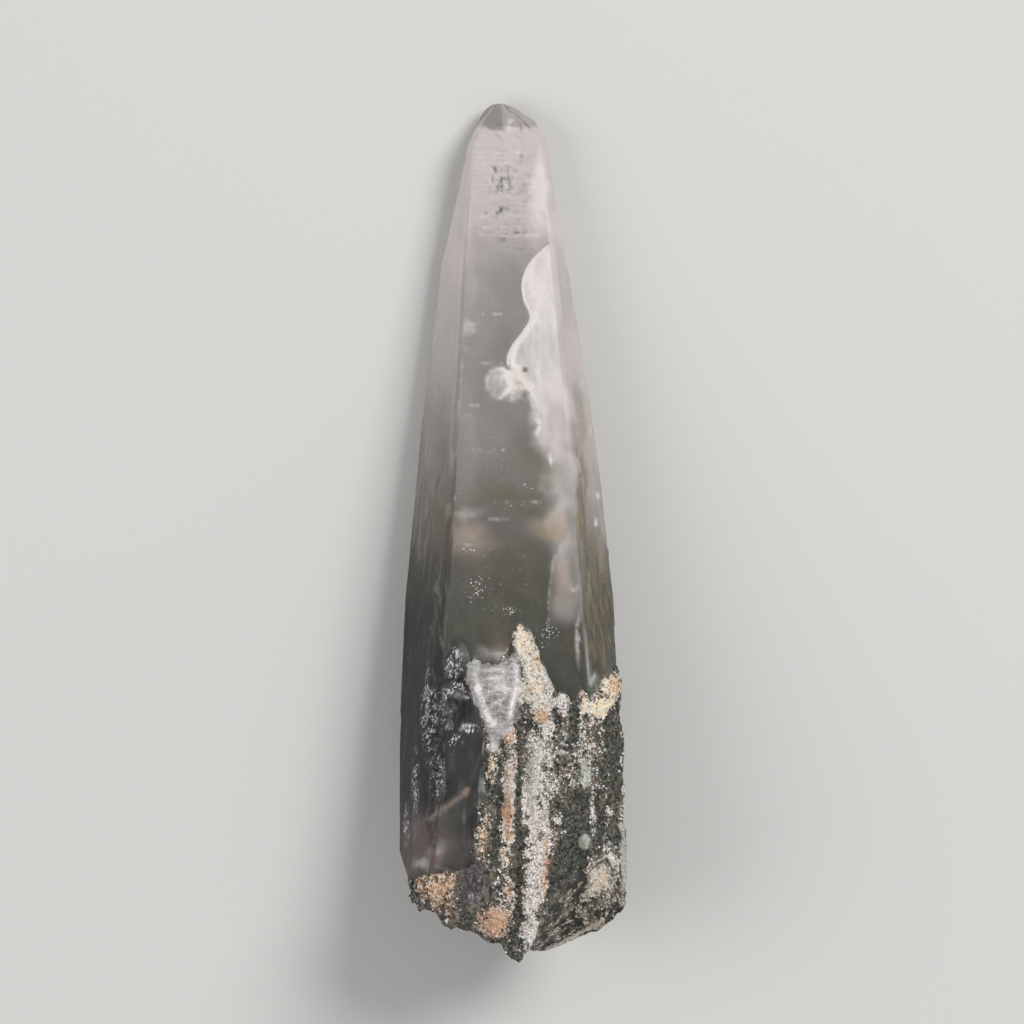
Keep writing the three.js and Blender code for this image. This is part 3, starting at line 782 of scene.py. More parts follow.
def flake_frost(x, y):
    """The flake scar is frosted, brightest along its rim and lip, and dullest in its lower lobe."""
    from_rim = x - curve(FLAKE_RIM, y)
    lobe = (1 - fade(y, (64.5, 67.0))) * fade(from_rim, (0.7, 1.1))
    mottle = 0.89 - 0.16 * lobe + 0.2 * rough_noise(x, y, 0 * x, 0.8, 3.4)
    rim = 0.3 * bell(from_rim, 0.25) + 0.5 * flake_lip(x, y)
    return between(y, (56.5, 61.0), (74.8, 75.3)) * (mottle + rim)


def bruise_frost(x, y):
    """A round bruise under the surface, palest at its rim and upper right."""
    reach = reach_in(x, y, BRUISE) + 0.1 * rough_noise(x, y, 0 * x, 0.9)
    rim = 0.2 * bell(reach - 0.92, 0.16)
    bright = 0.22 * (x - BRUISE[0]) + 0.1 * (y - BRUISE[1]) + 0.3 * rough_noise(y, x, 0 * x, 0.6)
    return (1 - fade(reach, (0.92, 1.06))) * (0.45 + bright) + rim


def tip_facet(x, y):
    """1 on the dull facet on the left of the point."""
    low = TIP_FACET["low"] + TIP_FACET["climb"] * np.maximum(0, TIP_FACET["climb_from"] - x)
    right = TIP_FACET["right"] - TIP_FACET["lean"] * (y - TIP_FACET["low"])
    return fade(y - low, (-0.15, 0.3)) * fade(right - x, (-0.16, 0.16))


def growth_line_highlights(x, y, z):
    """Painted highlights along growth steps: short bright lines across the top face, broken up by
    noise.
    """
    lines = 0 * y
    for along, start, end in GROWTH_LINE_HIGHLIGHTS:
        near = bell(y - along - 0.15 * noise(x, y, z, 2.0), 0.14)
        lines = lines + near * (x > start) * (x < end)
    return lines * fade(rough_noise(x, y, z, 0.5, 0.5), (-0.4, 0.6))


def point_darkness(points):
    """How much darker the point is: in its pits, on its dull facet and to the right of that."""
    x, y = points["x"], points["y"]
    pitted = fade(rough_noise(x, y, points["z"], 0.55, 0.8), (-0.05, 0.55)) * spread(x, y, PITTED)
    pitted = pitted + 0.7 * ovals(x, y, POINT_PITS)
    facet = tip_facet(x, y)
    right_of_point = fade(y, (87.2, 87.8)) * (1 - facet)
    return 0.4 * points["on_top"] * pitted + 0.45 * facet + 0.3 * right_of_point


def body_whiteness(points):
    x, y, side = points["x"], points["y"], points["side"]
    white = profile(WHITENESS, y) + 0.04 * rough_noise(x, y, points["z"], 3.4, 1.4)
    white = white + clouds(points, PALE_CLOUDS) - clouds(points, DARK_CLOUDS)
    white = white + 0.26 * (side != TOP) * between(y, (42, 64), (76, 80))
    for toned_side, amount, start, end in SIDE_TONES:
        white = white + amount * (side == toned_side) * between(y, start, end)
    return white + 0.1 * points["on_top"] * terrace(x, y) - point_darkness(points)


def body_frost_and_highlights(points):
    """Frost in the bruise, along lines and edges, in wisps and in the etched hollow, some of it painted
    highlight.
    """
    x, y, z = points["x"], points["y"], points["z"]
    fine = rough_noise(x, y, z, 0.6, 0.6)
    blotches = fade(rough_noise(x, y, z, 2.2, 2.0), (-0.3, 0.5))
    left_edge = bell(x - top_edge(TOP_FACE_LEFT, y), HIGHLIGHT_EDGE) * fade(fine, (-0.8, 0.4))
    left_edge = left_edge * between(y, (44, 50), (80, 84))
    worn_edge_and_highlight = bell(points["to_corner"], WORN_HIGHLIGHT_EDGE) * fade(fine, (-0.3, 0.6))
    terrace_edge = bell(x - profile(TERRACE_LINE, y), TERRACE_EDGE) * fade(fine, (-0.5, 0.4))
    terrace_edge = terrace_edge * between(y, TERRACE_START, TERRACE_END)
    wisps = clouds(points, WISPS) * fade(fine, (-1.0, 0.2))
    crests = fade(ridges(x, y, z, ETCH["size"], ETCH["stretch"]), (0.9, 0.98)) * etched(x, y)
    on_right_bevel = points["side"] == RIGHT_BEVEL
    # Along the growth lines the frost is painted highlight; along the terrace edge it is frost
    frost_and_highlight = bruise_frost(x, y) + 0.45 * growth_line_highlights(x, y, z) + 0.5 * terrace_edge
    frost_and_highlight = frost_and_highlight * points["on_top"] + wisps
    # Painted highlight on the top face's left edge, wear and painted highlight on worn edges,
    # painted light on the right bevel, and frost with painted glints on the etched crests
    blotchy = 0.3 * left_edge + 0.14 * worn_edge_and_highlight + 0.1 * on_right_bevel + 0.4 * crests
    return frost_and_highlight + blotches * blotchy


def on_left_faces(side):
    return (side == LEFT_UPPER) | (side == LEFT_UNDER)


def body_clarity(points, peach, vein):
    """How see-through the body is, before frost: most near the root, least in the point."""
    x, y, z = points["x"], points["y"], points["z"]
    clear = profile(CLARITY, y) + 0.1 * rough_noise(x, y, z, 3.4, 1.4)
    clear = clear + 0.15 * on_left_faces(points["side"]) * (1 - fade(y, (40, 46)))
    clear = clear - 0.3 * points["on_top"] * terrace(x, y)
    clear = clear - 0.7 * clouds(points, PLUM_CLOUDS) - 0.5 * vein
    return clear - 0.8 * clouds(points, PALE_CLOUDS) - 0.4 * peach


def body_painted_shade(points):
    """How much shade is painted on the clear quartz: low on the left, and in the dark hollow."""
    x, y = points["x"], points["y"]
    dim = 0.7 * (1 - fade(x, (-4, -1))) * (1 - fade(y, (23, 32)))
    dim = dim + on_left_faces(points["side"]) * (1 - fade(y, (34, 50)))
    return dim + 0.9 * above_waist(points, "body marks") * in_hollow(x, y)


def body_marks(points):
    """How white, frosted, clear, tinted and streaked the body is at each place, with painted shade and
    highlights, 0 to 1.
    """
    x, y, z, side = points["x"], points["y"], points["z"], points["side"]
    points = {**points, "warped": warped(x, y, z)}
    upper = above_waist(points, "body marks")
    vein = stray_vein(x, y, z)
    peach = spread(*points["warped"], PEACH_CLOUDS) * (0.8 + 0.5 * rough_noise(x, y, z, 1.0, 0.5))
    peach = upper * np.clip(peach + vein, 0, 1)
    near_top = points["on_top"] + 0.25 * ((side == RIGHT_BEVEL) | (side == LEFT_BEVEL))
    striated = mix(0.12, 1, fade(y, (72, 76))) * (1 - fade(y, (86.5, 87.5)))
    marks = {
        "whiteness": body_whiteness(points) + 0.3 * vein,
        "frost_and_highlight": body_frost_and_highlights(points),
        "flake": near_top * flake_frost(x, y),
        "in_flake": 0.5 + 0.25 * (x - curve(FLAKE_RIM, y)),  # half on the scar's rim
        "clarity": body_clarity(points, peach, vein),
        "painted_shade": body_painted_shade(points),
        "plum": clouds(points, PLUM_CLOUDS),
        "olive": clouds(points, OLIVE_CLOUDS) + 0.25 * upper * (1 - fade(y, (52, 66))),
        "peach": peach,
        "cream": clouds(points, CREAM_STAIN),
        "brown": upper * spread(x, y, BROWN_SPOTS),
        "specked": clouds(points, SPECKED),
        "etched": upper * etched(x, y),
        "worn": bell(points["to_corner"], DULL_EDGE) * between(y, (24, 40), (80, 84)),
        "striated": striated * points["on_top"],
        "streaked": (side != TOP) * mix(1, 0.45, fade(y, (50, 60))) * (1 - fade(y, (74, 84))),
    }
    return {name: np.clip(values, 0, 1) for name, values in marks.items()}


NO_SIDE = -1
FAR_FROM_CORNERS = 9.0


def on_break(rings):
    """Places on the broken root, as the marks need them."""
    x, y, z = np.moveaxis(rings, -1, 0)
    side = np.full(x.shape, NO_SIDE)
    return {
        "x": x, "y": y, "z": z, "waist": waist_at(x, y), "side": side, "on_top": side == TOP,
        "to_corner": np.full(x.shape, FAR_FROM_CORNERS),
    }


def make_body(material):
    side, share = places_round(BODY_STEPS)
    y = rows_along(side, share, BODY_SPACING)
    points = plain_points(side, fitted_to_flake(side, share, y), y)
    cut = point_share(points, core_at(y))
    rise = (main_relief(points) + body_relief(points)) * cut
    sides = place_surface(points, rise, cut)
    cap = break_rings(sides[0], BODY_CAP_RINGS, lambda x, z: 0 * x)
    x, z = ROOT_CENTRE
    middle = break_at(np.array(x), np.array(z))
    mesh = closed_mesh("crystal_body", np.concatenate([cap, sides]), (x, middle, z), APEX)
    on_sides = body_marks({**points, "x": sides[..., 0]})
    store_marks(mesh, body_marks(on_break(cap)), on_sides)
    body = add_piece("crystal_body", mesh, material)
    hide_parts(NODE)


# The chlorite and feldspar mass that fills the root and comes out as a crust

# The crust's left edge along the crystal, and its upper edge across it
CRUST_LEFT = [
    (0, -12), (8.4, -10.2), (9.3, -6.4), (9.8, -4.0), (12, -3.6), (15.3, -3.4), (17, -2.9),
    (20, -3.0), (22.6, -2.8), (24.5, -2.9), (27, -3.9), (30, -4.6), (32, -4.9),
]
CRUST_TOP = [
    (-5, 31.0), (-3.5, 31.4), (-2.2, 31.0), (-1.2, 31.4), (0, 33.4), (1, 35.2), (2, 34.2),
    (2.9, 32.4), (3.8, 30.4), (4.8, 28.6), (5.6, 28.3), (6.6, 27.6), (7.6, 28.6), (8.6, 27.0),
    (9.5, 29.4), (10.7, 30.3), (12, 31),
]
CRUST_WANDER = [{"size": 1.7, "reach": 0.5}, {"size": 0.5, "reach": 0.65}]
CRUST_END_BELOW = 18
GHOST = {"start": 31, "end": 46, "width": 0.93}
WINDOW_DEPTH = 1.5
# On the resting face the mass stays inside the quartz
UNDERSIDE = {"below": 0.3, "drawn_in": 0.25, "flat_to": (0, 1.6)}


def crust_cover(points):
    """1 where the mass comes out through the faces, 0 where clear quartz covers it."""
    x, y, z = points["x"], points["y"], points["z"]
    reach = np.minimum(x - profile(CRUST_LEFT, y), profile(CRUST_TOP, x) - y)
    for wander in CRUST_WANDER:
        reach = reach + wander["reach"] * rough_noise(x, y, z, wander["size"], 1.4)
    below = CRUST_END_BELOW - y + 12 * noise(x, y, z, 3.6, 2.4) + 3 * noise(x, y, z, 0.9, 1.5)
    return mix(fade(below, (-0.4, 0.6)), fade(reach, (-0.2, 0.2)), above_waist(points, "crust"))


# What grows where on the crust: sideways place, place along, half width, half length, strength
PALE_BASE = 0.12
PALE_GROWTH = [
    (2.9, 21.5, 1.5, 3.0, 0.6), (2.3, 17.2, 1.1, 3.4, 0.8), (3.3, 14.5, 1.3, 3.5, 0.45),
    (2.7, 9.5, 1.2, 4.5, 0.75), (2.2, 4.0, 1.0, 3.4, 0.68), (5.6, 26.8, 1.0, 1.2, 0.6),
    (1.1, 34.1, 1.4, 2.0, 1.2), (2.8, 29.0, 1.7, 4.8, 1.2), (7.5, 27.9, 0.7, 1.2, 0.4),
    (9.9, 28.4, 1.4, 1.8, 0.9), (8.7, 26.2, 1.3, 1.2, 0.95), (11.6, 19.5, 0.3, 7.0, 0.35),
    (3.9, 27.4, 0.9, 2.2, 0.6), (-2.3, 19.3, 0.5, 1.2, 0.45), (8.5, 22.6, 0.3, 2.0, 0.4),
    (7.8, 4.6, 2.4, 1.8, 0.2), (8.4, 16.1, 0.3, 2.6, 0.5), (10.5, 15.8, 0.5, 0.9, 0.4),
    (0.0, 23.6, 0.8, 1.6, 0.8), (-0.1, 18.6, 0.75, 4.4, 0.72), (-0.1, 14.5, 0.8, 2.4, 0.75),
    (-0.3, 10.4, 0.7, 2.6, 0.6), (0.3, 7.3, 0.8, 1.6, 0.7), (3.7, 9.9, 0.5, 3.0, 0.5),
    (-2.6, 12.2, 1.0, 2.4, 0.3), (-7.4, 7.6, 2.0, 2.3, 0.45), (-6.2, 5.4, 0.9, 1.2, 0.35),
    (-1.6, 4.2, 1.9, 1.8, 0.7), (9.5, 8.0, 1.6, 2.6, 1.1), (11.3, 5.9, 0.9, 1.0, 0.6),
    (7.2, 22.6, 2.2, 3.6, 0.22), (9.6, 22.5, 0.6, 3.0, 0.2), (4.2, 18.0, 2.2, 6.5, 0.2),
    (3.6, 11.0, 1.6, 4.0, 0.14), (-1.8, 16.0, 1.6, 8.0, 0.1), (10.5, 10.6, 0.6, 1.6, 0.3),
    (5.2, 14.6, 0.5, 0.5, 0.4), (6.2, 12.4, 0.5, 0.4, 0.3), (-1.9, 21.4, 0.6, 1.9, 0.5),
]
DARK_GROWTH = [
    (5.9, 10.4, 1.8, 2.8, 0.5), (6.9, 16.3, 1.4, 1.6, 0.35), (0.95, 15.4, 0.4, 6.0, 0.7),
    (6.4, 23.2, 1.2, 1.2, 0.2), (11.0, 19.5, 0.5, 3.4, 0.35), (9.3, 13.2, 0.7, 2.4, 0.25),
    (4.6, 8.0, 0.6, 3.0, 0.2), (0.9, 24.5, 0.4, 1.6, 0.4), (-3.0, 7.4, 1.4, 2.8, 0.25),
    (-2.4, 18.5, 0.5, 1.6, 0.2), (-1.6, 12.6, 0.4, 1.6, 0.2), (0.9, 6.6, 0.4, 3.0, 0.35),
    (4.4, 2.6, 1.6, 1.2, 0.5), (6.0, 10.0, 1.4, 2.6, 0.2), (4.4, 1.8, 1.2, 1.2, 0.4),
]
PEACH_GROWTH = [
    (3.1, 30.9, 0.9, 1.2, 0.5), (2.8, 28.5, 0.9, 0.8, 0.4), (3.2, 25.4, 1.1, 0.75, 0.9),
    (0.0, 23.6, 0.8, 1.4, 0.8), (-0.2, 18.6, 0.8, 4.4, 0.5), (-0.1, 14.6, 0.8, 2.0, 0.9),
    (0.3, 7.3, 0.7, 1.2, 0.9), (3.7, 9.9, 0.5, 3.0, 0.9), (-7.4, 7.6, 2.4, 2.5, 0.85),
    (-6.2, 5.4, 1.2, 1.3, 0.6), (-1.6, 4.2, 2.1, 1.9, 1.0), (9.7, 8.2, 1.1, 1.7, 0.4),
    (10.4, 28.9, 0.9, 1.2, 0.6), (7.5, 27.9, 0.7, 1.2, 0.6), (-2.3, 14.9, 1.1, 6.8, 0.35),
    (11.4, 14.0, 0.5, 0.6, 0.6), (-2.4, 12.0, 1.1, 2.8, 0.3), (-2.3, 19.3, 0.6, 1.2, 0.4),
    (8.5, 22.6, 0.4, 2.0, 0.4),
]
CREAM_GROWTH = [
    (1.2, 34.0, 1.3, 1.8, 0.9), (8.7, 26.3, 1.5, 1.5, 1.0), (9.9, 28.2, 1.6, 2.0, 0.8),
    (2.6, 29.2, 1.6, 4.6, 0.6), (-7.4, 7.6, 2.4, 2.5, 0.65), (-2.0, 21.2, 0.8, 1.9, 0.8),
    (-0.4, 10.2, 0.9, 3.0, 0.8), (-2.5, 12.0, 1.1, 2.6, 0.9), (-2.3, 19.3, 0.6, 1.2, 0.9),
    (9.7, 8.2, 1.4, 1.9, 0.5), (2.4, 12.0, 1.4, 9.0, 0.25), (10.0, 28.8, 1.2, 1.6, 0.5),
]
SMOOTH_GROWTH = [
    (7.9, 19.4, 0.62, 1.8, 1.0), (7.8, 12.4, 0.7, 0.9, 1.0), (11.4, 13.9, 0.4, 0.6, 1.0),
    (-3.8, 28.6, 1.1, 3.6, 1.2), (0.5, 29.0, 0.7, 3.8, 1.2), (-1.6, 28.8, 2.6, 3.8, 1.0),
    (-1.2, 25.0, 1.6, 2.0, 1.0), (11.7, 10.4, 0.4, 4.2, 0.8), (-0.2, 26.6, 1.0, 2.6, 0.9),
    (-3.9, 8.3, 1.5, 3.3, 1.1), (-1.7, 22.8, 0.8, 1.6, 0.7),
]
# The frosted plateau at the crust's upper left, and how pale it is between its ridges
PLATEAU = [
    (-1.6, 28.6, 3.2, 3.5, 1.0), (-1.2, 25.4, 1.6, 1.9, 0.9), (-1.6, 22.6, 0.9, 1.9, 0.75),
    (-0.2, 26.6, 1.0, 2.6, 0.9),
]
PLATEAU_TONE = 0.24
# Bright ridges on the plateau: a line, its width and its strength
PLATEAU_RIDGES = [
    (((-3.9, 30.7), (-3.5, 28.4)), 0.42, 0.75), (((-3.5, 28.4), (-2.5, 25.6)), 0.32, 0.75),
    (((0.5, 31.2), (0.8, 29.2)), 0.3, 0.65), (((0.8, 29.2), (0.0, 25.4)), 0.32, 0.6),
    (((-1.2, 31.4), (0.2, 31.8)), 0.5, 0.35), (((-2.6, 25.2), (-1.0, 24.0)), 0.6, 0.4),
    (((-2.8, 30.2), (-0.2, 30.4)), 0.22, 0.35), (((-2.9, 29.3), (-0.9, 29.6)), 0.16, 0.3),
    (((-3.0, 27.2), (-1.4, 28.4)), 0.2, 0.25), (((-2.4, 26.2), (-0.6, 27.4)), 0.2, 0.2),
    (((-1.6, 29.4), (-0.5, 28.4)), 0.6, 0.3), (((-1.9, 23.6), (-1.7, 22.0)), 0.5, 0.35),
]
# The break's beige lump, and the pale line along its lower edge
BEIGE_LUMP = (9.5, 8.0, 1.6, 2.4)
BREAK_RIM = {"line": ((4.2, 1.0), (9.6, 3.9)), "width": 0.14}
# Pale haze in the clear quartz over the mass
HAZE = [
    (-8.6, 12.8, 2.4, 3.2, 0.7), (-6.9, 10.6, 1.7, 1.5, 1.0), (-10.4, 13.5, 1.0, 4.0, 0.5),
    (-4.6, 12.0, 1.2, 3.5, 0.35), (-2.0, 8.0, 1.6, 3.0, 0.3),
]
# Where the grains thin out: near the break, and towards the crust's sides
SEED_RIM, SEED_SIDES = (0.1, 1.0), (10.6, 11.7)


def plateau_tone(x, y, z):
    """How pale the frosted plateau is, with its bright ridges."""
    tone = PLATEAU_TONE + 0.12 * rough_noise(x, y, z, 0.9, 0.7)
    for line, width, strength in PLATEAU_RIDGES:
        tone = tone + strength * near_line(x, y, line, width)
    return tone


def broken_share(points):
    """1 on the slanting break at the lower right, 0 off it."""
    x, y, z = points["x"], points["y"], points["z"]
    past = break_at(x, z) + 0 * y - y + 0.6 * rough_noise(x, y, z, 0.9)
    left_edge = x + 1.2 * rough_noise(z, x, y, 1.6)
    return fade(past, (-1.1, -0.1)) * fade(left_edge, (2.0, 3.5)) * (1 - oval(x, y, BEIGE_LUMP))


def seed_marks(points, marks, plateau):
    """How densely each kind of grain is strewn: thinner along the break and the crust's sides."""
    x, y, z = points["x"], points["y"], points["z"]
    inward = fade(y - break_at(x, z), SEED_RIM) * (1 - 0.8 * fade(np.abs(x), SEED_SIDES))
    rough = marks["cover"] * (1 - marks["smooth"]) * (1 - 0.75 * marks["broken"])
    rough = rough * mix(0.3, 1, inward)
    dense = rough * fade(marks["pale"], (0.08, 0.9))
    return {
        "white_seeds": dense * (1 - marks["peach"]) * (1 - 0.7 * marks["cream"]),
        "peach_seeds": dense * marks["peach"],
        "chlorite_seeds": rough * (1 - marks["pale"]) * (1 - plateau),
    }


def mass_marks(points, cover):
    """What the mass is made of at each place, from 0 to 1."""
    x, y, z = points["x"], points["y"], points["z"]
    jag = 0.5 * rough_noise(x, y, z, 0.8, 1.6)
    wandered = x + 0.5 * rough_noise(x, y, z, 1.5, 1.8) + 0.25 * rough_noise(y, z, x, 0.5)
    streak = noise(x, y, z, 0.6, 6.5)
    clumps = 0.16 * rough_noise(x, y, z, 1.0, 1.5) + 0.24 * rough_noise(z, x, y, 0.45)
    patch = noise(x, y, z, 1.9, 2.2)
    upper = above_waist(points, "growth")
    pale = PALE_BASE + 0.2 * streak + 0.08 * patch + clumps
    pale = pale + spread(wandered, y, PALE_GROWTH, jag) - spread(wandered, y, DARK_GROWTH, jag)
    pale = mix(PALE_BASE + 0.3 * streak + 0.3 * patch + clumps, pale, upper)
    peach = mix(fade(patch, (0.2, 0.6)), spread(wandered, y, PEACH_GROWTH, jag), upper)
    plateau = np.clip(upper * spread(x, y, PLATEAU, 0.5 * jag), 0, 1)
    pale = mix(pale, plateau_tone(x, y, z), plateau)
    pale = pale + near_line(x, y, BREAK_RIM["line"], BREAK_RIM["width"])
    haze = spread(x, y, HAZE, jag) + 0.15 * patch
    marks = {
        "cover": cover,
        "pale": np.clip(mix(haze, pale, cover), 0.03, 0.98),
        "peach": peach,
        "cream": upper * spread(x, y, CREAM_GROWTH, jag),
        "smooth": upper * spread(x, y, SMOOTH_GROWTH, 0.5 * jag) * cover,
        "lilac": plateau * cover,
        "broken": broken_share(points),
        "violet": (1 - fade(x, (-4.5, -1.5))) * (1 - fade(y, (22, 31))),
        "ghost": fade(y, (25, 39)),
    }
    marks = {name: np.clip(values, 0, 1) for name, values in marks.items()}
    return {**marks, **seed_marks(points, marks, plateau)}


def mass_relief(points, marks):
    """The crust stands proud of the plain faces, and the rest lies under the clear quartz."""
    x, y, z = points["x"], points["y"], points["z"]
    coarse = noise(x, y, z, 0.95, 1.4)
    grains = np.abs(noise(x, y, z, 0.42)) + 0.5 * np.abs(noise(x, y, z, 0.24))
    rough = 0.14 * coarse + 0.16 * grains - 0.08
    brushed = 0.22 + 0.05 * coarse + 0.05 * noise(x, y, z, 1.2, 0.2)
    raised = 0.08 + 0.25 * marks["pale"] + mix(rough, brushed, marks["smooth"])
    sunk = -WINDOW_DEPTH * (1 + 0.5 * noise(x, y, z, 2.6, 1.5)) + 0.25 * coarse
    under = UNDERSIDE["drawn_in"] * (z < UNDERSIDE["below"])
    return mix(sunk, raised, marks["cover"]) * fade(z, UNDERSIDE["flat_to"]) - under


def mass_share(points, cover):
    """The mass narrows to a blunt ghost inside the crystal."""
    y = points["y"]
    along = np.clip((y - GHOST["start"]) / (GHOST["end"] - GHOST["start"]), 0, 1)
    lumps = 0.09 * rough_noise(points["x"], y, points["z"], 2.6) * fade(y, (29, 33))
    ghost = (GHOST["width"] + lumps) * np.sqrt(np.maximum(1 - along**2, 0))
    return mix(ghost, 1, cover)


def cap_roughness(x, z):
    """How far the mass stands out of the broken root: more on the left than on the right."""
    height = mix(0.25, 0.06, fade(x, (1, 4)))
    return height * np.abs(noise(x, 0 * x, z, 0.45)) + 0.3 * height


def make_mass(material):
    side, share = places_round(MASS_STEPS)
    y = rows_along(side, share, MASS_SPACING)
    points = plain_points(side, share, y)
    cover = crust_cover(points)
    marks = mass_marks(points, cover)
    rise = main_relief(points) + mass_relief(points, marks)
    sides = place_surface(points, rise, mass_share(points, cover))
    cap = break_rings(sides[0], MASS_CAP_RINGS, cap_roughness)
    to_rim = (np.arange(1, MASS_CAP_RINGS) / MASS_CAP_RINGS)[:, None]
    cap_marks = mass_marks(on_break(cap), mix(1, cover[0], to_rim**3))
    x, z = ROOT_CENTRE
    middle = float(break_at(np.array(x), np.array(z))) - 0.2
    end = (sides[-1].min(axis=0) + sides[-1].max(axis=0)) / 2
    mesh = closed_mesh("grown_root", np.concatenate([cap, sides]), (x, middle, z), end)
    store_marks(mesh, cap_marks, marks)
    return add_piece("grown_root", mesh, material)


# Loose grains on the crust

GRAINS = {
    "feldspar_grains": {
        "seeds": "white_seeds", "per_mm2": 54, "sizes": (0.035, 0.12), "kind": "block", "seed": 3,
        "slot": "feldspar", "colours": ((118, 112, 104), (244, 238, 232)), "roughness": 0.5,
    },
    "peach_feldspar_grains": {
        "seeds": "peach_seeds", "per_mm2": 56, "sizes": (0.035, 0.125), "kind": "lump", "seed": 5,
        "slot": "feldspar", "colours": ((146, 106, 82), (228, 194, 166)), "roughness": 0.6,
    },
    "chlorite_scales": {
        "seeds": "chlorite_seeds", "per_mm2": 9, "sizes": (0.06, 0.2), "kind": "scale", "seed": 8,
        "slot": "chlorite", "colours": ((18, 22, 20), (66, 68, 60)), "roughness": 0.42,
    },
}


def grain_shape(nodes, kind):
    """One grain about two units across: a block, a lump or a thin six-sided scale."""
    if kind == "block":
        return nodes.add("GeometryNodeMeshCube", {}, {"Size": (1.7, 1.5, 1.9)})
    if kind == "lump":
        return nodes.add("GeometryNodeMeshIcoSphere", {}, {"Radius": 1.0, "Subdivisions": 1})
    return nodes.add("GeometryNodeMeshCylinder", {}, {"Vertices": 6, "Radius": 1.0, "Depth": 0.35})


def grain_tree(name, kind, material):
    """Nodes that strew turned, unevenly sized grains over a mesh, thickest where it is marked."""
    tree = bpy.data.node_groups.new(name, "GeometryNodeTree")
    for socket, type_name in [
        ("Ground", "Geometry"), ("Seeds", "String"), ("Per area", "Float"), ("Smallest", "Float"),
        ("Largest", "Float"), ("Seed", "Int"),
    ]:
        tree.interface.new_socket(socket, in_out="INPUT", socket_type=f"NodeSocket{type_name}")
    tree.interface.new_socket("Grains", in_out="OUTPUT", socket_type="NodeSocketGeometry")
    nodes = Nodes(tree)
    ground = nodes.add("NodeGroupInput")
    seed = ground.output("Seed")
    marked = nodes.add("GeometryNodeInputNamedAttribute", {"data_type": "FLOAT"}, {
        "Name": ground.output("Seeds"),
    })
    points = nodes.add("GeometryNodeDistributePointsOnFaces", {}, {
        "Mesh": ground, "Density": marked * ground.output("Per area"), "Seed": seed,
    })
    turn = nodes.add("FunctionNodeRandomValue", {"data_type": "FLOAT_VECTOR"}, {
        1: (2 * math.pi,) * 3, "Seed": seed,
    })
    chance = nodes.add("FunctionNodeRandomValue", {"data_type": "FLOAT"}, {"Seed": seed + 1}, 1)
    growth = chance * chance * (ground.output("Largest") - ground.output("Smallest"))
    uneven = nodes.add("FunctionNodeRandomValue", {"data_type": "FLOAT_VECTOR"}, {
        0: (0.75,) * 3, 1: (1.25,) * 3, "Seed": seed + 3,
    })
    size = nodes.add("ShaderNodeVectorMath", {"operation": "SCALE"}, {
        "Vector": uneven, "Scale": growth + ground.output("Smallest"),
    })
    grains = nodes.add("GeometryNodeInstanceOnPoints", {}, {
        "Points": points, "Instance": grain_shape(nodes, kind), "Rotation": turn, "Scale": size,
    })
    tone = nodes.add("FunctionNodeRandomValue", {"data_type": "FLOAT"}, {"Seed": seed + 2}, output=1)
    toned = nodes.add("GeometryNodeStoreNamedAttribute", {"data_type": "FLOAT", "domain": "INSTANCE"}, {
        "Geometry": grains, "Name": "tone", "Value": tone,
    })
    real = nodes.add("GeometryNodeRealizeInstances", {}, {"Geometry": toned})
    finished = nodes.add("GeometryNodeSetMaterial", {}, {"Geometry": real, "Material": material})
    nodes.add("NodeGroupOutput", {}, {"Grains": finished})
    return tree


def make_grains(ground):
    for name, grain in GRAINS.items():
        material = grain_material(name, grain["colours"], grain["roughness"])
        tree = grain_tree(name, grain["kind"], material)
        carrier = bpy.data.objects.new(name + "_carrier", ground.data)
        bpy.context.scene.collection.objects.link(carrier)
        modifier = carrier.modifiers.new("grains", "NODES")
        modifier.node_group = tree
        values = {
            "Seeds": grain["seeds"], "Per area": grain["per_mm2"] / MM**2,
            "Smallest": grain["sizes"][0] * MM, "Largest": grain["sizes"][1] * MM,
            "Seed": grain["seed"],
        }
        for socket in tree.interface.items_tree:
            if socket.name in values:
                modifier[socket.identifier] = values[socket.name]
        evaluated = carrier.evaluated_get(bpy.context.evaluated_depsgraph_get())
        mesh = bpy.data.meshes.new_from_object(evaluated)
        bpy.data.objects.remove(carrier)
        mesh.name = name
        add_piece(name, mesh, material)


# Materials


class Field:
    """A number, colour or vector that varies over a surface: a node's output in arithmetic."""

    def __init__(self, nodes, socket):
        self.nodes = nodes
        self.socket = socket

    def output(self, name):
        """Another output of the same node."""
        return Field(self.nodes, self.socket.node.outputs[name])

    def maths(self, operation, *values):
        inputs = dict(enumerate(values))
        return self.nodes.add("ShaderNodeMath", {"operation": operation}, inputs)

    def __add__(self, other):
        return self.maths("ADD", self, other)

    __radd__ = __add__

    def __sub__(self, other):
        return self.maths("SUBTRACT", self, other)

    def __rsub__(self, other):
        return self.maths("SUBTRACT", other, self)

    def __mul__(self, other):
        return self.maths("MULTIPLY", self, other)

    __rmul__ = __mul__

    def clamp(self):
        return self.nodes.add("ShaderNodeClamp", {}, {"Value": self})

    def fade(self, start, end):
        """0 up to start, 1 from end on, smooth in between."""
        inputs = {"Value": self, "From Min": start, "From Max": end}
        settings = {"interpolation_type": "SMOOTHSTEP"}
        return self.nodes.add("ShaderNodeMapRange", settings, inputs)

    def blend(self, first, second):
        """The first colour where this field is 0 and the second where it is 1."""
        inputs = {0: self, 6: first, 7: second}
        return self.nodes.add("ShaderNodeMix", {"data_type": "RGBA"}, inputs, output=2)

    def tint(self, finish):
        """A finish's first colour where this field is 0 and its second where it is 1."""
        first, second = FINISHES[finish]
        return self.blend(srgb(*first), srgb(*second))


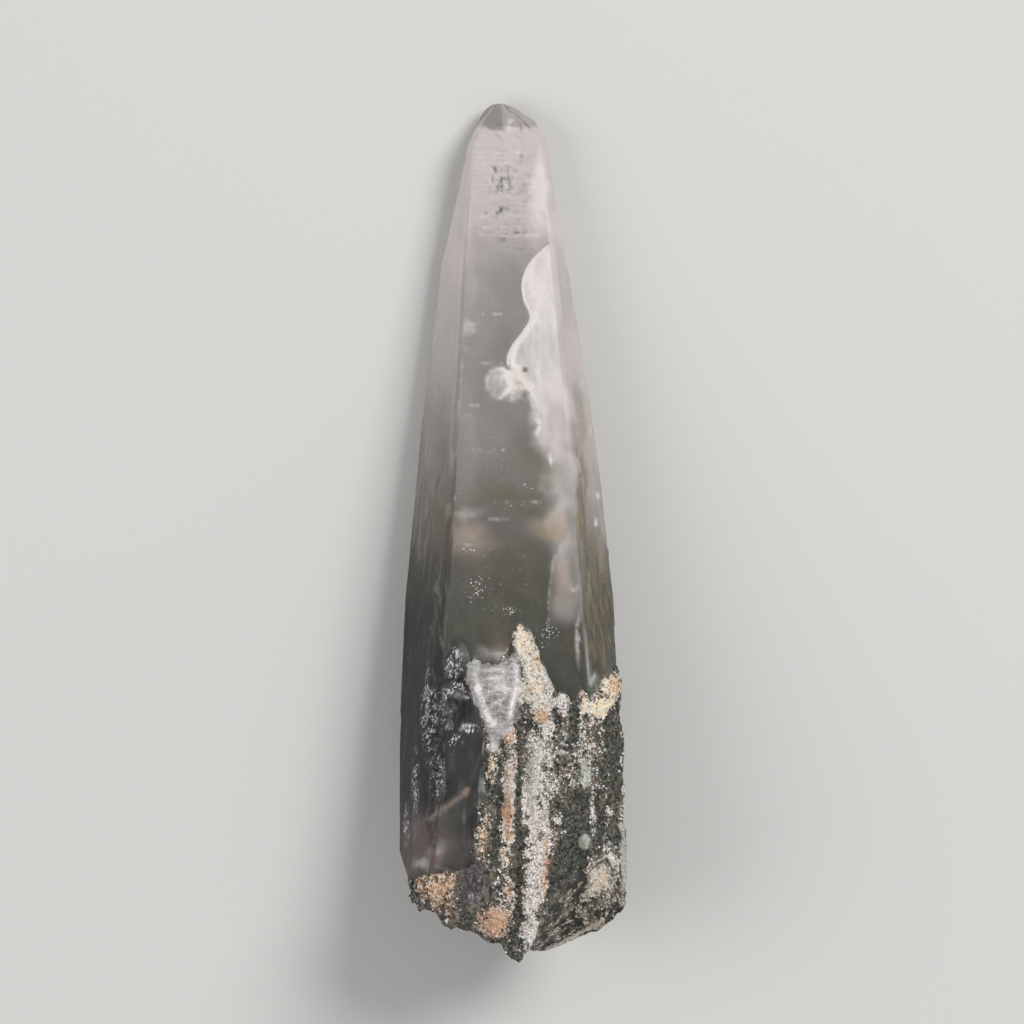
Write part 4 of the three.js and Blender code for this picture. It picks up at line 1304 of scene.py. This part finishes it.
class Nodes:
    """The nodes of one tree."""

    def __init__(self, tree):
        self.tree = tree
        self.tree.nodes.clear()
        self.marks = {}

    def add(self, kind, settings=(), inputs=(), output=0):
        """Adds a node, sets its settings, fills its inputs and returns one of its outputs."""
        node = self.tree.nodes.new(kind)
        for name, value in dict(settings).items():
            setattr(node, name, value)
        for name, value in dict(inputs).items():
            if isinstance(value, Field):
                self.tree.links.new(value.socket, node.inputs[name])
            else:
                node.inputs[name].default_value = value
        return Field(self, node.outputs[output]) if node.outputs else None

    def mark(self, name):
        """A number that is stored on the mesh."""
        if name not in self.marks:
            settings = {"attribute_name": name}
            self.marks[name] = self.add("ShaderNodeAttribute", settings, output=2)
        return self.marks[name]

    def place(self, size, stretch=(1, 1, 1), turn=0, warp=0):
        """The place on the piece in units of a size in millimetres, drawn out along each axis."""
        place = self.add("ShaderNodeTexCoord", output=3)
        if warp:
            inputs = {"Vector": place, "Scale": 1 / (size * 2 * MM)}
            wobble = self.add("ShaderNodeTexNoise", {}, inputs, output=1)
            inputs = {0: wobble, 1: (warp * size * MM,) * 3, 2: place}
            place = self.add("ShaderNodeVectorMath", {"operation": "MULTIPLY_ADD"}, inputs)
        scale = [1 / (size * MM * s) for s in stretch]
        turned = self.add("ShaderNodeMapping", {}, {"Vector": place, "Rotation": (0, 0, turn)})
        return self.add("ShaderNodeMapping", {}, {"Vector": turned, "Scale": scale})

    def noise(self, size, detail=2.0, stretch=(1, 1, 1), turn=0):
        inputs = {"Vector": self.place(size, stretch, turn), "Scale": 1.0, "Detail": detail}
        return self.add("ShaderNodeTexNoise", {}, inputs)

    def cells(self, size, stretch=(1, 1, 1)):
        """Two random numbers for each grain of a mosaic, and how near its middle a place is."""
        inputs = {"Vector": self.place(size, stretch, warp=0.8), "Scale": 1.0}
        distance = self.add("ShaderNodeTexVoronoi", {}, inputs)
        colour = self.add("ShaderNodeSeparateColor", {}, {"Color": distance.output("Color")})
        return colour, colour.output("Green"), 1 - distance

    def bump(self, strength, depth, height):
        """The direction of a surface that fine relief of a depth in millimetres would have."""
        inputs = {"Strength": strength, "Distance": depth * MM, "Height": height}
        return self.add("ShaderNodeBump", {}, inputs)

    def shader(self, colour, roughness, others=()):
        inputs = {"Base Color": colour, "Roughness": roughness, **dict(others)}
        return self.add("ShaderNodeBsdfPrincipled", {}, inputs)

    def finish(self, surface, others=()):
        self.add("ShaderNodeOutputMaterial", {}, {"Surface": surface, **dict(others)})


def new_material(name):
    material = bpy.data.materials.new(name)
    material.use_nodes = True
    return material, Nodes(material.node_tree)


# The two colours that each finish varies between, and single colours, as they look on a screen
FINISHES = {
    "quartz": ((62, 60, 50), (240, 229, 226)),
    "plum quartz": ((100, 84, 82), (186, 178, 178)),
    "olive stain": ((132, 129, 106), (116, 99, 34)),
    "olive glass": ((180, 172, 120), (176, 152, 56)),
    "green chlorite": ((22, 26, 23), (66, 72, 62)),
    "brown chlorite": ((46, 40, 36), (126, 112, 94)),
    "white feldspar": ((184, 178, 171), (246, 240, 235)),
    "peach feldspar": ((168, 126, 98), (216, 182, 154)),
    "frosted patch": ((138, 142, 132), (190, 190, 180)),
    "purple patch": ((58, 51, 51), (104, 95, 94)),
    "plateau": ((106, 101, 100), (237, 230, 227)),
    "broken rock": ((38, 39, 35), (130, 121, 106)),
    "broken feldspar": ((176, 164, 146), (228, 219, 204)),
    "moss": ((20, 22, 18), (60, 62, 48)),
    "green ghost": ((74, 74, 58), (134, 126, 104)),
    "purple inside": ((34, 29, 33), (160, 134, 124)),
}
COLOURS = {
    "frost_and_highlight": (250, 242, 239),
    "painted glint": (238, 237, 243),
    "painted shade": (32, 30, 32),
    "peach cloud": (180, 146, 116),
    "cream stain": (240, 231, 215),
    "brown spot": (112, 94, 80),
    "brown streak": (84, 74, 56),
    "clear glass": (208, 216, 205),
    "peach glass": (200, 156, 124),
    "painted-shade glass": (56, 54, 57),
    "thick glass": (197, 191, 164),
    "grey chlorite": (122, 115, 100),
    "cream feldspar": (240, 218, 172),
    "gap": (34, 36, 33),
    "yellow moss": (76, 70, 50),
}
# Noises of the quartz: size in millimetres, detail, and how far it is drawn out along each axis
STRIAE = (0.3, 3.0, (5, 1, 5))
STREAKS = (0.5, 4.0, (1, 12, 1))
PATCHES = (1.5, 2.0)
SPECKLE = (0.3, 2.0)
HAZINESS = (2.2, 3.0)
QUARTZ_IOR = 1.544
MILKY, GLASSY = 0.22, 0.95
ABSORPTION_DENSITY = 80
# The flake scar's rim is where its mark is a half, and its frost starts within these limits
FLAKE_EDGE = (0.485, 0.505)
PAINTED_GLINT_LEAN = math.radians(19)
SEAMS_LEAN = math.radians(-34)


def colour_of(name):
    return srgb(*COLOURS[name])


def quartz_frost_and_highlights(nodes, streaks):
    """Frost and painted highlights as they are marked, in silky streaks and in tiny specks."""
    streaked, specked = nodes.mark("streaked"), nodes.mark("specked")
    frost_and_highlight = nodes.mark("frost_and_highlight") + nodes.mark("flake") * nodes.mark("in_flake").fade(*FLAKE_EDGE)
    specks = (nodes.noise(0.2, 1.0) + 0.16 * specked).fade(0.78, 0.83)
    silk = 0.16 * streaked * streaks.fade(0.5, 0.75)
    return (frost_and_highlight + silk + specked.fade(0.0, 0.2) * specks).clamp()


def quartz_painted_glints(nodes):
    """Painted glints: bright threads and points, in clusters, where the surface is etched."""
    threads = nodes.noise(0.17, 3.0, (1, 4.0, 1), PAINTED_GLINT_LEAN).fade(0.5, 0.62)
    points = nodes.noise(0.2, 2.0, (1, 1.4, 1), PAINTED_GLINT_LEAN).fade(0.54, 0.6)
    clusters = nodes.noise(0.8, 3.0, (1, 1.6, 1), PAINTED_GLINT_LEAN)
    glints = 0.7 * threads * clusters.fade(0.36, 0.56) + 1.2 * points * clusters.fade(0.44, 0.54)
    return (1.3 * nodes.mark("etched") * glints).clamp()


def glass_tint(nodes):
    """The colour of light that comes through the clear quartz, darkened where shade is painted."""
    olive_glass = nodes.mark("streaked").tint("olive glass")
    tint = (0.6 * nodes.mark("olive")).blend(colour_of("clear glass"), olive_glass)
    tint = (0.5 * nodes.mark("peach")).blend(tint, colour_of("peach glass"))
    return (0.85 * nodes.mark("painted_shade")).blend(tint, colour_of("painted-shade glass"))


def quartz_material():
    """A milky shader over a glassy one, each as strong as the marks make it, and absorption."""
    material, nodes = new_material("quartz")
    white, olive, streaked = nodes.mark("whiteness"), nodes.mark("olive"), nodes.mark("streaked")
    striated, painted_shade = nodes.mark("striated"), nodes.mark("painted_shade")
    striae, streaks, patches = nodes.noise(*STRIAE), nodes.noise(*STREAKS), nodes.noise(*PATCHES)
    speckle, haze = nodes.noise(*SPECKLE), nodes.noise(*HAZINESS)
    frost_and_highlight, painted_glints = quartz_frost_and_highlights(nodes, streaks), quartz_painted_glints(nodes)
    shade = white + 0.4 * striated * patches * (striae - 0.5) + 0.4 * streaked * (streaks - 0.5)
    shade = (shade + 0.12 * (haze - 0.5) + 0.12 * (speckle - 0.5)).clamp()
    banded = haze.fade(0.3, 0.6) * (1 - streaked) + streaks.fade(0.32, 0.56) * streaked
    between_bands = 0.6 * olive * streaked * (1 - streaks).fade(0.5, 0.66)
    rime_and_highlight = (frost_and_highlight + 0.5 * frost_and_highlight * (speckle - 0.5)).clamp()
    milk = shade.tint("quartz")
    for share, colour in [
        (0.8 * olive * banded, streaked.tint("olive stain")),
        (between_bands, colour_of("brown streak")),
        (0.75 * nodes.mark("peach"), colour_of("peach cloud")),
        # painted shade on the left faces, in the hollow and over the lower left of the root
        ((0.75 * painted_shade * (1 - white)).clamp(), colour_of("painted shade")),
        (nodes.mark("plum"), (2 * shade).clamp().tint("plum quartz")),
        # frost, and the painted highlights that the frost mark carries
        (rime_and_highlight, colour_of("frost_and_highlight")),
        (nodes.mark("cream"), colour_of("cream stain")),
        (nodes.mark("brown"), colour_of("brown spot")),
        # painted glints where the hollow is etched
        (painted_glints, colour_of("painted glint")),
    ]:
        milk = share.blend(milk, colour)
    relief = 0.6 * striae * striated + 0.5 * streaks * streaked + 0.25 * speckle
    both = {"Normal": nodes.bump(0.5, 0.06, relief + 0.5 * frost_and_highlight * speckle), "IOR": QUARTZ_IOR}
    worn = 0.24 * nodes.mark("worn")
    roughness = (worn + 0.37 + 0.3 * frost_and_highlight + 0.08 * striae).clamp()
    milky = nodes.shader(milk, roughness, {**both, "Transmission Weight": MILKY})
    roughness = (worn + 0.22 + 0.08 * striae + 0.3 * painted_shade).clamp()
    glassy = nodes.shader(glass_tint(nodes), roughness, {**both, "Transmission Weight": GLASSY})
    seen_through = nodes.mark("clarity") * (1 - 0.97 * frost_and_highlight) * (1 - 0.97 * painted_glints)
    seen_through = seen_through * (1 - 0.4 * olive * streaked * banded)
    surface = nodes.add("ShaderNodeMixShader", {}, {0: seen_through, 1: milky, 2: glassy})
    absorption = nodes.add("ShaderNodeVolumeAbsorption", {}, {
        "Color": colour_of("thick glass"), "Density": ABSORPTION_DENSITY,
    })
    nodes.finish(surface, {"Volume": absorption})
    return material


def mosaic_colour(nodes, mottles):
    """Grains of dark chlorite and pale feldspar in the shares that the marks give, and their height."""
    pale, peach, cream = nodes.mark("pale"), nodes.mark("peach"), nodes.mark("cream")
    pick, tone, middle = nodes.cells(0.32, (1, 1.25, 1))
    small_pick, small_tone, small_middle = nodes.cells(0.18)
    browned = mottles + 0.5 * pale + 0.08 * nodes.mark("violet") + 0.16 * (pick - 0.5)
    dark = browned.fade(0.52, 0.68).blend(tone.tint("green chlorite"), tone.tint("brown chlorite"))
    dark = (0.7 * small_tone.fade(0.6, 0.95)).blend(dark, colour_of("grey chlorite"))
    bright = (peach + 0.4 * (small_tone - 0.5)).fade(0.25, 0.75)
    bright = bright.blend(small_tone.tint("white feldspar"), tone.tint("peach feldspar"))
    bright = (cream * small_pick.fade(0.0, 0.6)).clamp().blend(bright, colour_of("cream feldspar"))
    grain = (pale - 0.65 * pick - 0.35 * small_pick).fade(-0.06, 0.12)
    gaps = (1 - middle).fade(0.6, 0.95) * (1 - 0.9 * grain)
    mosaic = (0.3 * gaps).blend(grain.blend(dark, bright), colour_of("gap"))
    ragged = nodes.mark("smooth") - 0.25 * (1 - small_pick)
    return mosaic, ragged, grain * 0.5 + middle * 0.5 + 0.3 * small_middle


def crust_colour(nodes):
    """The mosaic of grains, and over it the smooth patches and the frosted plateau."""
    pale = nodes.mark("pale")
    fine = nodes.noise(0.24, 3.0)
    mottles = nodes.noise(0.9, 4.0, (1, 4, 1))
    mosaic, ragged, height = mosaic_colour(nodes, mottles)
    frosted = fine.fade(0.3, 0.7).tint("frosted patch")
    purple = (0.6 * fine + 0.4 * mottles).fade(0.42, 0.64).tint("purple patch")
    frosted = nodes.mark("violet").fade(0.0, 0.5).blend(frosted, purple)
    brushed = nodes.noise(0.3, 3.0, (4, 1, 1))
    plateau = (pale + 0.8 * (brushed - 0.5) + 0.8 * (fine - 0.5)).clamp().tint("plateau")
    frosted = nodes.mark("lilac").fade(0.1, 0.5).blend(frosted, plateau)
    return ragged.fade(0.1, 0.6).blend(mosaic, frosted), height


def broken_colour(nodes):
    """The slanting break: beige and dark mottles drawn out a little along its lower edge."""
    pale, seams = nodes.mark("pale"), nodes.noise(0.4, 4.0, (3, 1, 2), SEAMS_LEAN)
    mottles, patches = nodes.noise(0.3, 3.0), nodes.noise(1.6, 2.0)
    pick, tone = nodes.cells(0.24)[:2]
    rock = 0.3 * seams + 0.7 * mottles + 0.8 * (patches - 0.5) + 0.9 * (pale - 0.2)
    rock = rock.fade(0.4, 0.64).tint("broken rock")
    bright = (pick + 1.3 * (pale - 0.1) + 0.5 * (patches - 0.5)).fade(0.82, 0.98)
    return bright.blend(rock, tone.tint("broken feldspar"))


def inside_colour(nodes, fine, coarse):
    """The mass under the clear quartz: moss, the paler ghost, and purple at the left of the root."""
    moss = coarse.fade(0.35, 0.65).tint("moss")
    moss = (0.4 * fine.fade(0.5, 0.7)).blend(moss, colour_of("yellow moss"))
    moss = nodes.mark("ghost").blend(moss, coarse.fade(0.3, 0.7).tint("green ghost"))
    purple = (nodes.mark("pale") + 0.5 * (coarse - 0.5)).clamp().tint("purple inside")
    return nodes.mark("violet").blend(moss, purple)


def mass_material():
    material, nodes = new_material("chlorite_and_feldspar")
    smooth = nodes.mark("smooth")
    crust, height = crust_colour(nodes)
    fine, coarse = nodes.noise(0.28, 3.0), nodes.noise(1.6, 4.0, (1, 1.6, 1))
    colour = nodes.mark("cover").fade(0.15, 0.6).blend(inside_colour(nodes, fine, coarse), crust)
    colour = (0.85 * nodes.mark("broken")).blend(colour, broken_colour(nodes))
    normal = nodes.bump(0.7, 0.1, height * (1 - 0.8 * smooth))
    roughness = (0.7 - 0.3 * smooth - 0.12 * fine).clamp()
    nodes.finish(nodes.shader(colour, roughness, {"Normal": normal}))
    return material


def grain_material(name, colours, roughness):
    """Grains vary in tone from one to the next and are mottled within."""
    material, nodes = new_material(name)
    dark = (1 - nodes.mark("tone") + 0.4 * (nodes.noise(0.12) - 0.5)).clamp()
    colour = (dark * dark).blend(srgb(*colours[1]), srgb(*colours[0]))
    nodes.finish(nodes.shader(colour, roughness))
    return material


def plain_material(name, colour, roughness):
    material, nodes = new_material(name)
    nodes.finish(nodes.shader(colour, roughness))
    return material


# The stage, in metres and watts

FLOOR = {"reach": 3.0, "drop": 0.05 * MM, "colour": (214, 213, 210), "roughness": 0.8}
LIGHTS = {
    "key": {"where": (0.55, 0.45, 0.75), "size": 0.5, "power": 7},
    "fill": {"where": (-0.7, -0.1, 0.6), "size": 0.7, "power": 2.5},
}
ROOM = {"Color": srgb(235, 236, 238), "Strength": 0.45}


def make_floor():
    """A square a little under the crystal, so that the two don't touch."""
    mesh = bpy.data.meshes.new("floor")
    reach, height = FLOOR["reach"], -FLOOR["drop"]
    corners = [(-reach, -reach), (reach, -reach), (reach, reach), (-reach, reach)]
    mesh.from_pydata([(x, y, height) for x, y in corners], [], [(0, 1, 2, 3)])
    floor = bpy.data.objects.new("floor", mesh)
    mesh.materials.append(plain_material("floor", srgb(*FLOOR["colour"]), FLOOR["roughness"]))
    bpy.context.scene.collection.objects.link(floor)


def make_light(name, where, size, power):
    """A round soft light that faces the crystal."""
    data = bpy.data.lights.new(name, "AREA")
    data.shape = "DISK"
    data.size = size
    data.energy = power
    light = bpy.data.objects.new(name, data)
    light.location = where
    light.rotation_euler = (-Vector(where)).to_track_quat("-Z", "Y").to_euler()
    bpy.context.scene.collection.objects.link(light)


def make_stage():
    make_floor()
    for name, light in LIGHTS.items():
        make_light(name, **light)
    world = bpy.data.worlds.new("soft_room")
    bpy.context.scene.world = world
    world.use_nodes = True
    nodes = Nodes(world.node_tree)
    sky = nodes.add("ShaderNodeBackground", {}, ROOM)
    nodes.add("ShaderNodeOutputWorld", {}, {"Surface": sky})
    bpy.context.scene.view_settings.view_transform = "Standard"


make_camera()
make_body(quartz_material())
make_grains(make_mass(mass_material()))
make_stage()
